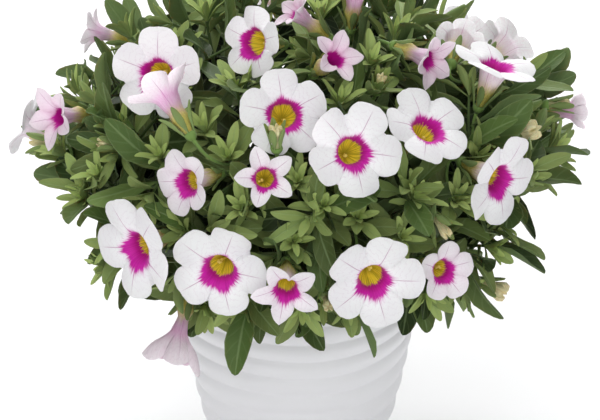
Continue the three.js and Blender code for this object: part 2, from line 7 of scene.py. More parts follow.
import bpy
import numpy as np
from mathutils import Matrix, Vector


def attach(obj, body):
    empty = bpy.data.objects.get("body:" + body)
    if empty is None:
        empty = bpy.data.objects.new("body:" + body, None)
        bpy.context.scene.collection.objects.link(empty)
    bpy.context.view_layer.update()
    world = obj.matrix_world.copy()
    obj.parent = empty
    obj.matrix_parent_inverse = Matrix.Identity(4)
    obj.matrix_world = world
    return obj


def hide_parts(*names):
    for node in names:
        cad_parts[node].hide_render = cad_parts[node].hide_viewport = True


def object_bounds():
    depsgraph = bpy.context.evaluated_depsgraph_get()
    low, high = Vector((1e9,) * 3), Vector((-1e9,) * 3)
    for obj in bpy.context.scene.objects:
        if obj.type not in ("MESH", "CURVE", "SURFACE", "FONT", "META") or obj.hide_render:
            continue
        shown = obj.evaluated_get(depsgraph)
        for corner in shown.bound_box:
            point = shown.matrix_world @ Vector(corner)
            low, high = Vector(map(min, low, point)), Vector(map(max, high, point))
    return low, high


bl_info = {
    "name": "Potted Calibrachoa",
    "version": (1, 0, 0),
    "blender": (4, 5, 0),
    "location": "View3D > Sidebar > Calibrachoa",
    "description": "Builds a calibrachoa in full bloom, leaf by leaf, in its cover pot",
    "category": "Object",
}

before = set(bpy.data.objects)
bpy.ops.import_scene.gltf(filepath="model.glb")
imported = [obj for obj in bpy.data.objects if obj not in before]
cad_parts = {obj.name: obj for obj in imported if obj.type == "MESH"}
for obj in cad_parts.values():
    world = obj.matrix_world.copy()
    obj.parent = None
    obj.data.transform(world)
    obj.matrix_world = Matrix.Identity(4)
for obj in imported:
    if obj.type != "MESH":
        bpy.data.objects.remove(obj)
SOLID_BOX = [list(corner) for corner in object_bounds()]
MM = 0.001
UP = np.array([0.0, 0.0, 1.0])

# ---------------------------------------------------------------- the plant's plan

POT = {"height": 88, "foot": 33, "flare": 17, "power": 1.65, "wall": 3, "floor": 4}
RIBS = {"count": 10, "depth": 1.2, "squeeze": -0.02, "rise": -0.04, "saddle": 0.06, "ripple": 0.01}
SOIL = {"top": 78, "mound": 2, "clearance": 0.75}
CROWN = {"radius": 112, "rise": 70, "centre": 138}
STEM = {"foot": 1.7, "fork": 1.3, "fork_at": 0.42, "lowest_fork": 103, "spring": 16, "rooted": 7}
TWIG = {"root_at": (1, 0.9, 0.8), "root": 0.9, "tip": 0.6, "depth": 8}
TWIG_RINGS = ((0.08, 0.5, 1), (0, 0.5, 1), (0, 0.5, 1))
TWIG_BOWS = (
    (0, 0), (7, 0), (-7, 0), (0, 7), (0, -7), (13, 0), (-13, 0), (9, 9), (-9, 9), (9, -9), (-9, -9),
)
STALK = {"radius": 0.75, "seat": 0.35, "thin": 0.5, "reach": 0.5, "seats": (0.35, 0.5, 0.65, 0.8, 0.95)}
LEAF = {
    "keel": 0.9, "aspect": 0.37, "recurve": 0.16, "shortest": 0.9, "variety": 0.2, "young_from": 0.5,
    "ageing": 1.1,
}
LEAF_SHOULDERS = ((0.36, 0.86), (0.74, 0.9))
# Along the twig, length and angle to the twig of each leaf, from the lowest to the tip.
LEAF_RANKS = (
    (0.42, 25, 66), (0.56, 26, 62), (0.7, 24, 58), (0.83, 21, 52), (0.93, 17, 44), (0.99, 14, 32),
)
LEAF_BENDS = (
    (0, 0), (0, 16), (0, -16), (24, 0), (-24, 0), (24, 16), (-24, 16), (48, -10), (-48, -10), (0, 30),
)
LEAF_SHRINK = (1, 0.75)
FIRST_TURN, GOLDEN_ANGLE, GOLDEN_SHARE = 20, 137.5, 0.6180339887
BLOOM = {
    "throat": 4.2, "tube": 16, "throat_flare": 20, "funnel": 0.6, "reflex": 0.8, "shut": 28,
    "opening": 62, "lobes": 5, "flat_from": 0.8,
}
# How the lobes look: how deep the rim is cut and how bluntly, how much they curl for each share that
# they are shut, how pink they are, how far out their ring reaches, how much they ruffle and how far
# their lip leans forward. An open bloom's curl and ring are drawn for each bloom.
LOBE_LOOKS = ("notch", "blunt", "curl", "pink", "ring", "ruffle", "lip")
OPEN = dict(zip(LOBE_LOOKS, (0.27, 4, 0, 0, 0, 1.2, 0)))
CUP = dict(zip(LOBE_LOOKS, (0.3, 2.8, 2.2, 0.3, 0.2, 1, -0.16)))
STAR = dict(zip(LOBE_LOOKS, (0.54, 1.15, 3.4, 0.25, 0.16, 0.7, -0.16)))
PINK_STAR = dict(zip(LOBE_LOOKS, (0.54, 1.08, 2.4, 0.75, 0.02, 0.8, -0.16)))
BELL = dict(zip(LOBE_LOOKS, (0.42, 2.2, 0.5, 1.1, 0.02, 2.6, 0.42)))
# By the bloom's number. The other half-open blooms are cups.
HALF_OPEN = {
    **dict.fromkeys((1, 5, 6, 8, 14), PINK_STAR), **dict.fromkeys((16, 20), STAR),
    **dict.fromkeys((3, 7, 23, 25), BELL),
}
FIRST_BLOOM_SEED = 40
CALYX = {"tip": 6.2, "sepal": 11, "foot": 2.6, "gap": 0.35}

# azimuth, latitude, proud, turn, lift, open, reach, roll. The first 26 are seen from the front.
FRONT_BLOOMS = 26
BLOOM_PLAN = (
    (-123, 29, 7, -102, 12, 0.42, 13.5, 20),
    (-35, 40, 7, -14, 14, 0.84, 19, 54),
    (-26, 31, 16, -128, 48, 0.6, 15.5, 0),
    (-13, 53, 6, -40, 12, 0.8, 15, 54),
    (0, 64, 6, -70, 40, 0.35, 11.5, 0),
    (10, 48, 6, 34, 32, 0.5, 12.5, 24),
    (30, 68, 10, 20, 74, 0.55, 14.5, 0),
    (36, 45, 6, 48, -10, 0.5, 13.5, 0),
    (51, 37, 9, 66, 70, 0.84, 18.5, 0),
    (114, 31, 0, 134, 24, 0.8, 15, 0),
    (-3, 33, 4, 6, 26, 0.84, 18, 61),
    (10, 22, 8, 16, 20, 0.84, 19.5, 23),
    (26, 26, 6, 32, 46, 0.84, 18.5, 56),
    (-60, 23, 3, -44, 6, 0.5, 15.5, 20),
    (-20, 14, 5, -40, 3, 0.62, 14.5, 8),
    (-6, 16, 5, 4, 20, 0.55, 13.5, 0),
    (39, 11, 6, 46, -10, 0.84, 19.5, 30),
    (-29, -5, 6, -46, -6, 0.84, 22, 10),
    (-14, -9, 5, -12, -6, 0.84, 20, 32),
    (-2, -12, 9, 0, -15, 0.55, 16, 6),
    (13, -10, 9, 12, -8, 0.84, 20.5, 34),
    (28, -13, 4, 28, 6, 0.55, 13.5, 48),
    (-32, -42, 6, -40, -64, 0.3, 16.5, 0),
    (-94, 8, 0, -94, 24, 0.8, 17, 0),
    (87, 15, 3, 95, 2, 0.3, 9.5, 0),
    (64, 51, -1, 165, 20, 0.8, 11, 0),
    (126, 6, 6, 122, 4, 0.84, 19, 15),
    (138, 22, 6, 138, 18, 0.84, 18, 40),
    (152, -6, 6, 150, 0, 0.84, 19.5, 5),
    (172, 14, 6, 175, 12, 0.55, 15, 0),
    (-174, 38, 6, -172, 36, 0.84, 18.5, 25),
    (-160, -8, 6, -162, 0, 0.84, 18, 10),
    (-146, 14, 6, -146, 14, 0.84, 19, 0),
    (-126, -10, 5, -122, 0, 0.6, 15, 30),
)
BLOOMS = [(f"bloom_{k:02d}", *row) for k, row in enumerate(BLOOM_PLAN, 1)]
# name, azimuth, latitude, proud, turn, lift, mouth radius, length
BUDS = (
    ("faded_bloom_1", 56, 20, 4, 62, 25, 3.8, 13),
    ("faded_bloom_2", 60, -36, 5, 75, -22, 3.8, 12),
    ("bud_1", 28, -2, 4, 40, -35, 2.0, 10),
    ("bud_2", -68, 13, 3, -95, 5, 2.2, 9),
    ("bud_3", 6, -22, 5, 12, -12, 2.0, 8),
)
# Small buds that only this dressed plant has, placed in the same way.
TINY_BUDS = (
    ("tiny_bud_1", -4, 26, 14.5, -4, 68, 2.4, 8.5),
    ("tiny_bud_2", -42, 20, 5, -60, 15, 2.0, 8),
    ("tiny_bud_3", 21, 42, 5, 15, 50, 1.9, 8),
    ("tiny_bud_4", 82, 19, 4, 85, 5, 1.8, 8),
)
# How far from the axis their sepals' tips stand.
TINY_BUD_SEPALS = 3.4
# name, azimuth and radius of the foot, arch of its twigs, azimuth and latitude of each tip
STEMS = (
    ("stem_left_low", -70, 26, 0, ((-62, 12), (-46, 10), (-50, 0))),
    ("stem_left_middle", -48, 20, 0, ((-31, 21), (-44, 27), (-72, 31))),
    ("stem_front_left", -22, 17, 0, ((-15, 23), (-22, 31), (-18, 46))),
    ("stem_front_centre", 6, 15, 0, ((0, 16), (5, 8), (11, 41))),
    ("stem_front_low", -12, 27, 0.05, ((-1, -5), (-11, 6), (-23, -4))),
    ("stem_front_foot", 1, 37, 0.22, ((1, -36), (-13, -38), (12, -34))),
    ("stem_front_right", 20, 28, 0.05, ((12, 3), (24, 8), (21, -6))),
    ("stem_right_middle", 46, 24, 0, ((34, 5), (45, 22), (56, 4))),
    ("stem_right_foot", 44, 37, 0.22, ((34, -34), (52, -40), (46, -18))),
    ("stem_left_foot", -38, 37, 0.22, ((-27, -42), (-50, -28), (-42, -14))),
    ("stem_top_right", 40, 9, 0, ((26, 54), (48, 62), (20, 76))),
    ("stem_right_far", 78, 25, 0, ((74, 8), (86, 30), (68, 42))),
    ("stem_top_left", -70, 9, 0, ((-72, 69), (-104, 48), (-50, 55))),
    ("stem_top_back", 170, 10, 0, ((172, 64), (-146, 70), (112, 70))),
    ("stem_back_right", 122, 25, 0.05, ((100, -12), (130, -22), (128, 18))),
    ("stem_back", 176, 22, 0.05, ((160, 20), (175, -14), (150, 60))),
    ("stem_back_left", -128, 25, 0.05, ((-118, 14), (-138, -18), (-150, 48))),
)

# Where the crown's shell stays open: azimuth, latitude, and half the width and height in degrees.
BARE_SPOTS = ((-75, -10, 35, 12), (-96, 27, 28, 11), (78, -9, 30, 11), (61, -25, 12, 10))

# ---------------------------------------------------------------- places and directions


def unit(vectors):
    """Vectors over their own length."""
    return vectors / np.linalg.norm(vectors, axis=-1, keepdims=True)


def facing(turn, lift):
    """(sin turn cos lift, -cos turn cos lift, sin lift): the unit vector towards an azimuth and up."""
    turn, lift = np.radians(turn), np.radians(lift)
    flat = np.cos(lift)
    return np.stack([np.sin(turn) * flat, -np.cos(turn) * flat, np.sin(lift) + 0 * flat], -1)


def on_crown(azimuth, latitude, proud):
    """A point on the ellipsoid of half axes (112, 112, 70) about the crown's centre, moved out
    along its normal by proud."""
    out = facing(azimuth, latitude)
    axes = np.array([CROWN["radius"], CROWN["radius"], CROWN["rise"]])
    return out * axes + UP * CROWN["centre"] + unit(out / axes) * proud


def in_crown(points):
    """Places as shares of the crown's half axes, from its centre."""
    return (points - UP * CROWN["centre"]) / [CROWN["radius"], CROWN["radius"], CROWN["rise"]]


def bloom_frame(turn, lift, roll):
    """Rows: the bloom's own X, Y and Z. Z is its axis, X is level before the roll about Z."""
    axis = facing(turn, lift)
    side = unit(np.cross(UP, axis))
    top = np.cross(axis, side)
    c, s = np.cos(np.radians(roll)), np.sin(np.radians(roll))
    return np.array([c * side + s * top, c * top - s * side, axis])


def bezier(curve, share):
    """(1-t)^2 A + 2t(1-t) B + t^2 C for each share t."""
    a, b, c = curve
    t = np.asarray(share, float)[..., None]
    return (1 - t) ** 2 * a + 2 * t * (1 - t) * b + t**2 * c


def bezier_heading(curve, share):
    """The unit tangent (1-t)(B-A) + t(C-B)."""
    a, b, c = curve
    t = np.asarray(share, float)[..., None]
    return unit((1 - t) * (b - a) + t * (c - b))


def angles_round(columns):
    """Even angles once round."""
    return np.arange(columns) * 2 * np.pi / columns


def turned(angle, radius, height):
    """(r cos a, r sin a, z), as a grid of points."""
    return np.stack([np.cos(angle) * radius, np.sin(angle) * radius, height + 0 * angle], -1)


def rings_along(points, headings, radii, sides, across):
    """Circles of the given radii square to a path: point + r (cos a side + sin a other), where
    side is across made square to the heading."""
    side = unit(across - (headings @ across)[:, None] * headings)
    other = np.cross(headings, side)
    angle = angles_round(sides)
    wheel = np.cos(angle)[:, None] * side[:, None] + np.sin(angle)[:, None] * other[:, None]
    return points[:, None] + wheel * np.asarray(radii, float)[:, None, None]


# ---------------------------------------------------------------- meshes


SHARP_FROM = 78


class Patchwork:
    """The surfaces of one piece, gathered before they become one mesh."""

    def __init__(self):
        self.points, self.faces, self.finish, self.marks, self.tones = [], [], [], [], []
        self.count = 0

    def add(self, points, faces, finish, marks, tones):
        """points (n, 3) in mm; faces, lists of corner numbers; finish, the material number of each
        face; marks (n, 3) and tones (n, 3), what the materials read."""
        points = np.asarray(points, float).reshape(-1, 3)
        self.points.append(points)
        self.faces += [[corner + self.count for corner in face] for face in faces]
        self.finish += list(finish)
        self.marks.append(np.broadcast_to(np.asarray(marks, float), points.shape))
        self.tones.append(np.broadcast_to(np.asarray(tones, float), points.shape))
        self.count += len(points)

    def skin(self, first, grid, last, finish, marks=(0, 0, 0), tones=(0, 0, 0)):
        """A grid of points (rows, columns, 3) closed round its columns, drawn to a pole at each
        end. finish is one material number, or one for each face."""
        rows, columns = grid.shape[:2]
        faces = wrapped(rows, columns)
        if isinstance(finish, int):
            finish = [finish] * len(faces)
        self.add(np.concatenate([[first], grid.reshape(-1, 3), [last]]), faces, finish, marks, tones)

    def piece(self, name, materials, slot, nodes):
        """The mesh object, riding on the row's one body in place of its nodes."""
        mesh = bpy.data.meshes.new(name)
        mesh.from_pydata(np.concatenate(self.points) * MM, [], self.faces)
        for material in materials:
            mesh.materials.append(material)
        mesh.polygons.foreach_set("material_index", np.asarray(self.finish, np.int32))
        mesh.polygons.foreach_set("use_smooth", np.ones(len(self.faces), bool))
        for label, values in (("mark", self.marks), ("tone", self.tones)):
            layer = mesh.attributes.new(label, "FLOAT_VECTOR", "POINT")
            layer.data.foreach_set("vector", np.concatenate(values).astype(np.float32).ravel())
        mesh.update()
        mesh.set_sharp_from_angle(angle=np.radians(SHARP_FROM))
        piece = bpy.data.objects.new(name, mesh)
        bpy.context.scene.collection.objects.link(piece)
        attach(piece, "root")
        if nodes:
            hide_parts(*nodes)


def wrapped(rows, columns):
    """Quads of a grid closed round its columns, with a pole before the first row and one after
    the last. Corner 0 is the first pole, and the last corner the second."""
    k = np.arange(columns)
    after = (k + 1) % columns
    start = 1 + np.arange(rows - 1)[:, None] * columns
    quads = np.stack([start + k, start + after, start + columns + after, start + columns + k], -1)
    last = 1 + (rows - 1) * columns
    caps = np.stack([0 * k, 1 + after, 1 + k], -1).tolist()
    ends = np.stack([0 * k + last + columns, last + k, last + after], -1).tolist()
    return caps + quads.reshape(-1, 4).tolist() + ends


def tube(work, points, headings, radii, sides, across, finish, tone):
    """A closed round limb over a path, its two ends drawn to their middles."""
    rings = rings_along(points, headings, radii, sides, across)
    along = np.concatenate([[0], np.repeat(np.linspace(0, 1, len(points)), sides), [1]])
    marks = np.stack([0 * along, along, 0 * along], -1)
    work.skin(points[0], rings, points[-1], finish, marks, tone)


# ---------------------------------------------------------------- leaves

# Along the blade, and across it from edge to edge on top and back below, with the share of the
# blade's thickness that each point lies below the top.
BLADE_ROWS = np.array([0.05, 0.16, 0.32, 0.5, 0.67, 0.82, 0.93, 0.985])
BLADE_RING = np.array([-1, -0.5, 0, 0.5, 1, 0.5, 0, -0.5])
BLADE_BELOW = np.array([0, 0, 0, 0, 0, 0.7, 1, 0.7])
# The blade's least fold and how much more is drawn, its most twist in radians, its waves' height
# as a share of its half width, its thickness and what that gains by width, the stalk's share of
# the width, where the blade is full, and the crown's shell over which painted shade comes in.
BLADE = {
    "fold": 0.2, "more_fold": 0.35, "twist": 0.7, "wave": 0.16, "thick": 0.25, "thicker": 0.1, "stalk": 0.3,
    "full_from": 0.45, "shell": 0.34,
}


def blade_faces():
    """The faces of one blade, and which of them are its underside."""
    faces = wrapped(len(BLADE_ROWS), len(BLADE_RING))
    columns = len(BLADE_RING)
    under = [k % columns >= columns // 2 for k in range(len(faces))]
    return faces, under


def blades(work, leaves, finishes):
    """Every leaf of a piece at once. Across the blade, u runs from -1 to 1, and along it s from 0
    to 1. Half width = width/2 sqrt(sin(pi s^1.3)), drawn in to a stalk at the root. A point lies
    at root + along L s + side u half + upper (fold |u|^1.3 half - recurve L s^2 + wave), and side
    and upper turn about along by twist s."""
    if not leaves:
        return
    root, along, upper = (np.array([leaf[k] for leaf in leaves]) for k in range(3))
    length, width, youth, drop = (
        np.array([leaf[k] for leaf in leaves], float)[:, None, None] for k in range(3, 7)
    )
    number = len(leaves)
    draws = np.random.default_rng(number).random((number, 4))[:, :, None, None]
    side = np.cross(along, upper)
    s = BLADE_ROWS[None, :, None]
    u = BLADE_RING[None, None, :]
    filled = BLADE["stalk"] + (1 - BLADE["stalk"]) * np.minimum(s / BLADE["full_from"], 1)
    half = width / 2 * np.sin(np.pi * s**1.3) ** 0.5 * filled
    fold = BLADE["fold"] + BLADE["more_fold"] * draws[:, 0]
    twist = (draws[:, 1] - 0.5) * BLADE["twist"] * s
    wave = BLADE["wave"] * half * np.sin(9 * s + 6.28 * draws[:, 2]) * np.abs(u)
    out = u * half
    lift = fold * np.abs(u) ** 1.3 * half + wave - BLADE_BELOW * (BLADE["thick"] + BLADE["thicker"] * half)
    sideways = out * np.cos(twist) - lift * np.sin(twist)
    upward = out * np.sin(twist) + lift * np.cos(twist) - drop * length * s**2
    forward = length * s + 0 * u
    body = (
        root[:, None, None]
        + forward[..., None] * along[:, None, None]
        + sideways[..., None] * side[:, None, None]
        + upward[..., None] * upper[:, None, None]
    )
    tip = root + length[:, 0] * along - drop[:, 0] * length[:, 0] * upper
    points = np.concatenate([root[:, None], body.reshape(number, -1, 3), tip[:, None]], 1)
    flat_u = np.concatenate([[0], np.tile(BLADE_RING, len(BLADE_ROWS)), [0]])
    flat_s = np.concatenate([[0], np.repeat(BLADE_ROWS, len(BLADE_RING)), [1]])
    mark = np.stack([flat_u, flat_s, 0 * flat_s], -1)
    marks = np.broadcast_to(mark, (number, *mark.shape)).copy()
    marks[..., 2] = draws[:, 3, :, 0]
    # How deep in the crown the leaf grows, for its painted shade: 0 in its shell, 1 well inside.
    within = in_crown(root + along * length[:, 0] * 0.5)
    inner = np.clip((1 - np.linalg.norm(within, axis=1)) / BLADE["shell"], 0, 1)
    tones = np.stack([youth[:, 0, 0], draws[:, 0, 0, 0], inner], -1)
    tones = np.broadcast_to(tones[:, None], (number, len(mark), 3))
    faces, under = blade_faces()
    template = [np.array([face for face in faces if len(face) == size]) for size in (3, 4)]
    beneath = [[b for face, b in zip(faces, under) if len(face) == size] for size in (3, 4)]
    every, finish = [], []
    for shape, flags in zip(template, beneath):
        offset = (np.arange(number) * len(mark))[:, None, None]
        every += (shape[None] + offset).reshape(-1, shape.shape[1]).tolist()
        finish += [finishes[1] if flag else finishes[0] for flag in flags] * number
    work.add(points, every, finish, marks.reshape(-1, 3), tones.reshape(-1, 3))


# ---------------------------------------------------------------- how the plant grew


def draw(counter):
    """A repeatable draw between 0 and 1."""
    return (counter * GOLDEN_SHARE) % 1


def main_curve(stem):
    """The main stem: from the soil's top, up 16 mm, to the fork short of its twigs' tips."""
    _, azimuth, radius, _, tips = stem
    foot = facing(azimuth, 0) * radius + UP * SOIL["top"]
    middle = np.mean([on_crown(*tip, -TWIG["depth"]) for tip in tips], 0)
    fork = foot + STEM["fork_at"] * (middle - foot)
    fork[2] = max(fork[2], STEM["lowest_fork"])
    return foot, foot + UP * STEM["spring"], fork


def twig_curve(stem, number, bow):
    """A twig: from its place on the main stem to its tip inside the crown, bowed between."""
    azimuth, latitude = stem[4][number]
    root = bezier(main_curve(stem), TWIG["root_at"][number])
    tip = on_crown(azimuth, latitude, -TWIG["depth"])
    middle = (root + tip) / 2 + UP * (stem[3] * np.linalg.norm(tip - root) + bow[1])
    return root, middle + facing(azimuth + 90, 0) * bow[0], tip


def on_twig(twig, share):
    """Where a limb sits: on the straight line between two of the twig's rings."""
    start, middle, end = twig["rings"]
    low, high = (start, middle) if share < middle else (middle, end)
    a, b = bezier(twig["curve"], low), bezier(twig["curve"], high)
    return a + (b - a) * (share - low) / (high - low)


def corners_of(node):
    """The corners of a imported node's mesh, in mm."""
    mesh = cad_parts[node].data
    places = np.empty(len(mesh.vertices) * 3, np.float32)
    mesh.vertices.foreach_get("co", places)
    return np.unique(places.reshape(-1, 3), axis=0).astype(float) / MM


def matches(points, corners):
    """How many of the points are corners of the node."""
    return int((np.linalg.norm(points[:, None] - corners[None], axis=-1).min(1) < 0.05).sum())


def best(choices, shape_of, corners, least):
    """The choice that most corners of the node agree with, or nothing."""
    scores = [matches(shape_of(choice), corners) for choice in choices]
    return choices[int(np.argmax(scores))] if max(scores) >= least else None


def leaf_axes(heading, across, spin, spread):
    """A leaf's direction and upper side: it leaves the twig at the spread angle, at a spin."""
    side = unit(across - (across @ heading) * heading)
    other = np.cross(heading, side)
    spin, spread = np.radians(spin), np.radians(spread)
    outward = side * np.cos(spin) + other * np.sin(spin)
    along = heading * np.cos(spread) + outward * np.sin(spread)
    return along, heading * np.sin(spread) - outward * np.cos(spread)


def leaf_corners(root, along, upper, length):
    """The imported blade's corners: two sections of three, and the tip."""
    side = np.cross(along, upper)
    width = length * LEAF["aspect"]
    found = [root + along * length - upper * LEAF["recurve"] * length]
    for share, part in LEAF_SHOULDERS:
        middle = root + along * length * share - upper * LEAF["recurve"] * length * share**2
        half = part * width / 2
        found += [middle - side * half, middle + side * half, middle - upper * LEAF["keel"]]
    return np.array(found)


def flower_frames():
    """Each flower's place, own axes and tube length, by node name."""
    found = {}
    for name, azimuth, latitude, proud, turn, lift, _, _, roll in BLOOMS:
        found[name] = (on_crown(azimuth, latitude, proud), bloom_frame(turn, lift, roll), BLOOM["tube"])
    for name, azimuth, latitude, proud, turn, lift, _, length in BUDS + TINY_BUDS:
        found[name] = (on_crown(azimuth, latitude, proud), bloom_frame(turn, lift, 0), length)
    return found


FLOWERS = flower_frames()


def limb_profile(share, opened, reach):
    """Radius and height of the limb at a share of its length: it leaves the throat at 20 degrees
    to the axis and turns out to 28 + 62 open, over the first 0.6; its rim rolls back."""
    length = reach - BLOOM["throat"]
    rim = np.radians(BLOOM["shut"] + BLOOM["opening"] * opened)
    start = np.radians(BLOOM["throat_flare"])
    gone = np.minimum(share / BLOOM["funnel"], 1)
    bend = BLOOM["funnel"] / 3 * (1 - (1 - gone) ** 3)
    out = np.sin(rim) * share + (np.sin(start) - np.sin(rim)) * bend
    along = np.cos(rim) * share + (np.cos(start) - np.cos(rim)) * bend
    return BLOOM["throat"] + length * out, length * along - BLOOM["reflex"] * opened * share**3


# How far apart the heights of a bloom's face are taken, and how many.
FACE_STEP, FACE_COUNT = 1.5, 24


def faces_of_blooms():
    """Every bloom's place, axes, rim radius, and the height of its face every 1.5 mm out."""
    places, axes = (np.array([FLOWERS[bloom[0]][k] for bloom in BLOOMS]) for k in (0, 1))
    profiles = [limb_profile(np.linspace(0, 1, 16), opened, reach) for *_, opened, reach, _ in BLOOMS]
    rims = np.array([radius[-1] for radius, _ in profiles])[:, None]
    outward = np.arange(FACE_COUNT) * FACE_STEP
    return places, axes, rims, np.array([np.interp(outward, *profile) for profile in profiles])


BLOOM_PLACES, BLOOM_AXES, BLOOM_RIMS, BLOOM_FACES = faces_of_blooms()


# What leaves and shoots keep off: the rim's share of its radius, and a room before the bloom's
# face; a cone about the tube, by its least radius and widening, as long as the tube and its calyx.
KEEP_OFF = {"margin": 1.2, "rim": 0.95, "before": 30, "cone": 1.6, "widens": 5, "calyx": 6}
# The side that the plant is seen from, how far before a flower a leaf hides it, and the share of the
# flower's radius that stays in sight.
SIGHT, SIGHT_FROM, SIGHT_SHARE = facing(0, 17), 2, 0.82
# Gaps are cut this far into the crown, as a share of its half axes.
BARE_FROM = 0.86


def hits_a_bloom(points, margin=KEEP_OFF["margin"]):
    """Whether any point lies in a bloom's tube or limb, or in front of its face."""
    away = points[None] - BLOOM_PLACES[:, None]
    local = np.einsum("bpk,bjk->bpj", away, BLOOM_AXES)
    out, height = np.hypot(local[..., 0], local[..., 1]), local[..., 2]
    step = np.clip(out / FACE_STEP, 0, FACE_COUNT - 1.01)
    low = step.astype(int)
    row = np.arange(len(BLOOM_PLACES))[:, None]
    face = BLOOM_FACES[row, low] + (step - low) * (BLOOM_FACES[row, low + 1] - BLOOM_FACES[row, low])
    before = (height > face - margin) & (height < face + KEEP_OFF["before"])
    before &= out < BLOOM_RIMS * KEEP_OFF["rim"] + margin
    cone = KEEP_OFF["cone"] + (height + BLOOM["tube"]) / BLOOM["tube"] * KEEP_OFF["widens"] + margin
    inside = (height > -BLOOM["tube"] - KEEP_OFF["calyx"]) & (height <= 0) & (out < cone)
    return bool((before | inside).any())


def hides_a_bloom(points):
    """Whether any point stands before one of the front's flowers, as seen from the front."""
    away = points[None] - (BLOOM_PLACES + BLOOM_AXES[:, 2] * 2)[:FRONT_BLOOMS, None]
    depth = away @ SIGHT
    off = np.linalg.norm(away - depth[..., None] * SIGHT, axis=-1)
    return bool(((depth > SIGHT_FROM) & (off < BLOOM_RIMS[:FRONT_BLOOMS] * SIGHT_SHARE)).any())


def in_bare_spot(points):
    """Whether any point near the crown's shell lies where the plant shows a gap."""
    away = in_crown(points)
    far = np.linalg.norm(away, axis=1)
    azimuth = np.degrees(np.arctan2(away[:, 0], -away[:, 1]))
    latitude = np.degrees(np.arcsin(away[:, 2] / far))
    spots = np.array(BARE_SPOTS, float)[:, :, None]
    inside = np.hypot((azimuth - spots[:, 0]) / spots[:, 2], (latitude - spots[:, 1]) / spots[:, 3]) < 1
    return bool((inside & (far > BARE_FROM)).any())


class Plant:
    """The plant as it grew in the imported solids: twigs, leaves and stalks."""

    def __init__(self):
        self.corners = {stem[0]: corners_of(stem[0]) for stem in STEMS}
        self.twigs = []
        for stem in STEMS:
            self.grow_twig(stem, 0)
        for stem in STEMS:
            self.grow_twig(stem, 1)
            self.grow_twig(stem, 2)
        self.leaves = {stem[0]: self.leaves_of(stem[0]) for stem in STEMS}
        self.stalks = {stem[0]: [] for stem in STEMS}
        self.seat_flowers()

    def grow_twig(self, stem, number):
        """Finds how a twig bowed by looking for its rings among its node's corners."""
        across = facing(stem[4][number][0] + 90, 0)
        flats = facing(stem[1] + 90, 0) if number == 0 else across
        root, tip = STEM["fork"] if number == 0 else TWIG["root"], TWIG["tip"]

        def shape_of(bow):
            curve, shares = twig_curve(stem, number, bow), np.array([0.5, 1.0])
            radii, headings = root + (tip - root) * shares, bezier_heading(curve, shares)
            return rings_along(bezier(curve, shares), headings, radii, 3, flats).reshape(-1, 3)

        bow = best(TWIG_BOWS, shape_of, self.corners[stem[0]], 2)
        if bow is not None:
            self.twigs.append({
                "node": stem[0], "curve": twig_curve(stem, number, bow), "rings": TWIG_RINGS[number],
                "across": across, "radii": (root, tip),
            })

    def leaves_of(self, node):
        """Finds how each leaf of a node turned and tipped."""
        found = []
        ranked = [(twig, rank) for twig in self.twigs for rank in LEAF_RANKS]
        for counter, (twig, (at, full, spread)) in enumerate(ranked):
            if twig["node"] != node:
                continue
            length = full * (LEAF["shortest"] + LEAF["variety"] * draw(counter))
            heading, root = bezier_heading(twig["curve"], at), on_twig(twig, at)
            spin = FIRST_TURN + GOLDEN_ANGLE * counter

            def blade_of(choice):
                share, turn, tip = choice
                return (root, *leaf_axes(heading, twig["across"], spin + turn, spread + tip), length * share)

            choices = [(share, *bend) for share in LEAF_SHRINK for bend in LEAF_BENDS]
            grown = best(choices, lambda c: leaf_corners(*blade_of(c)), self.corners[node], 4)
            if grown is not None:
                youth = max(0, (at - LEAF["young_from"]) * LEAF["ageing"])
                blade = blade_of(grown)
                found.append((*blade, blade[3] * LEAF["aspect"], youth, LEAF["recurve"]))
        return found

    def seat_flowers(self):
        """Finds the seat on a twig from which each flower's stalk grows. A tiny bud, which no
        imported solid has, takes the nearest seat."""
        seats = [(twig, on_twig(twig, share)) for twig in self.twigs for share in STALK["seats"]]
        for name, (place, axes, tube_length) in FLOWERS.items():
            foot = place - axes[2] * (tube_length + CALYX["foot"])
            curves = [stalk_curve(seat, foot, axes[2]) for _, seat in seats]
            if name.startswith("tiny"):
                chosen = int(np.argmin([np.linalg.norm(seat - foot) for _, seat in seats]))
            else:
                scores = [
                    matches(middle_ring(curve, axes[0]), self.corners[twig["node"]])
                    for (twig, _), curve in zip(seats, curves)
                ]
                chosen = int(np.argmax(scores))
                if scores[chosen] < 3:
                    continue
            self.stalks[seats[chosen][0]["node"]].append((name, curves[chosen]))


def stalk_curve(seat, foot, axis):
    """From the seat, in behind the flower's axis, to the flower's foot."""
    return seat, foot - axis * STALK["reach"] * np.linalg.norm(foot - seat), foot


def middle_ring(curve, across):
    """The five corners of a packed stalk's ring at the middle of its curve."""
    middle = np.array([0.5])
    radius = [(STALK["seat"] + STALK["radius"]) / 2]
    heading = bezier_heading(curve, middle)
    return rings_along(bezier(curve, middle), heading, radius, BLOOM["lobes"], across).reshape(-1, 3)


# ---------------------------------------------------------------- finer growth


# Side shoots: how deep inside the crown they end and how much that varies, where on a twig they
# can start, how short and how long they can be, how far they bow, and their radii. The highest is
# the sine of its latitude, and those below the low latitude grow only at the front. They keep clear
# of the blooms, and bow up and towards a point below the crown's centre.
SHOOT = {
    "depths": (4, 26), "varies": 9, "seats": (0.3, 0.45, 0.6, 0.75, 0.9), "shortest": 7, "longest": 46,
    "bow": 0.12, "radii": (0.7, 0.45), "highest": 0.985, "front": 40, "low": -14, "clear": 0.8,
    "from_below": 30,
}
# Turns and tips that a leaf tries in order, in degrees, and the pot's rim that it keeps off.
LEAF_TURNS = ((0, 0), (30, 0), (-30, 0), (60, 12), (-60, 12), (90, 0), (-90, 0), (150, -12))
RIM_RADIUS, RIM_HEIGHT = 52, 89
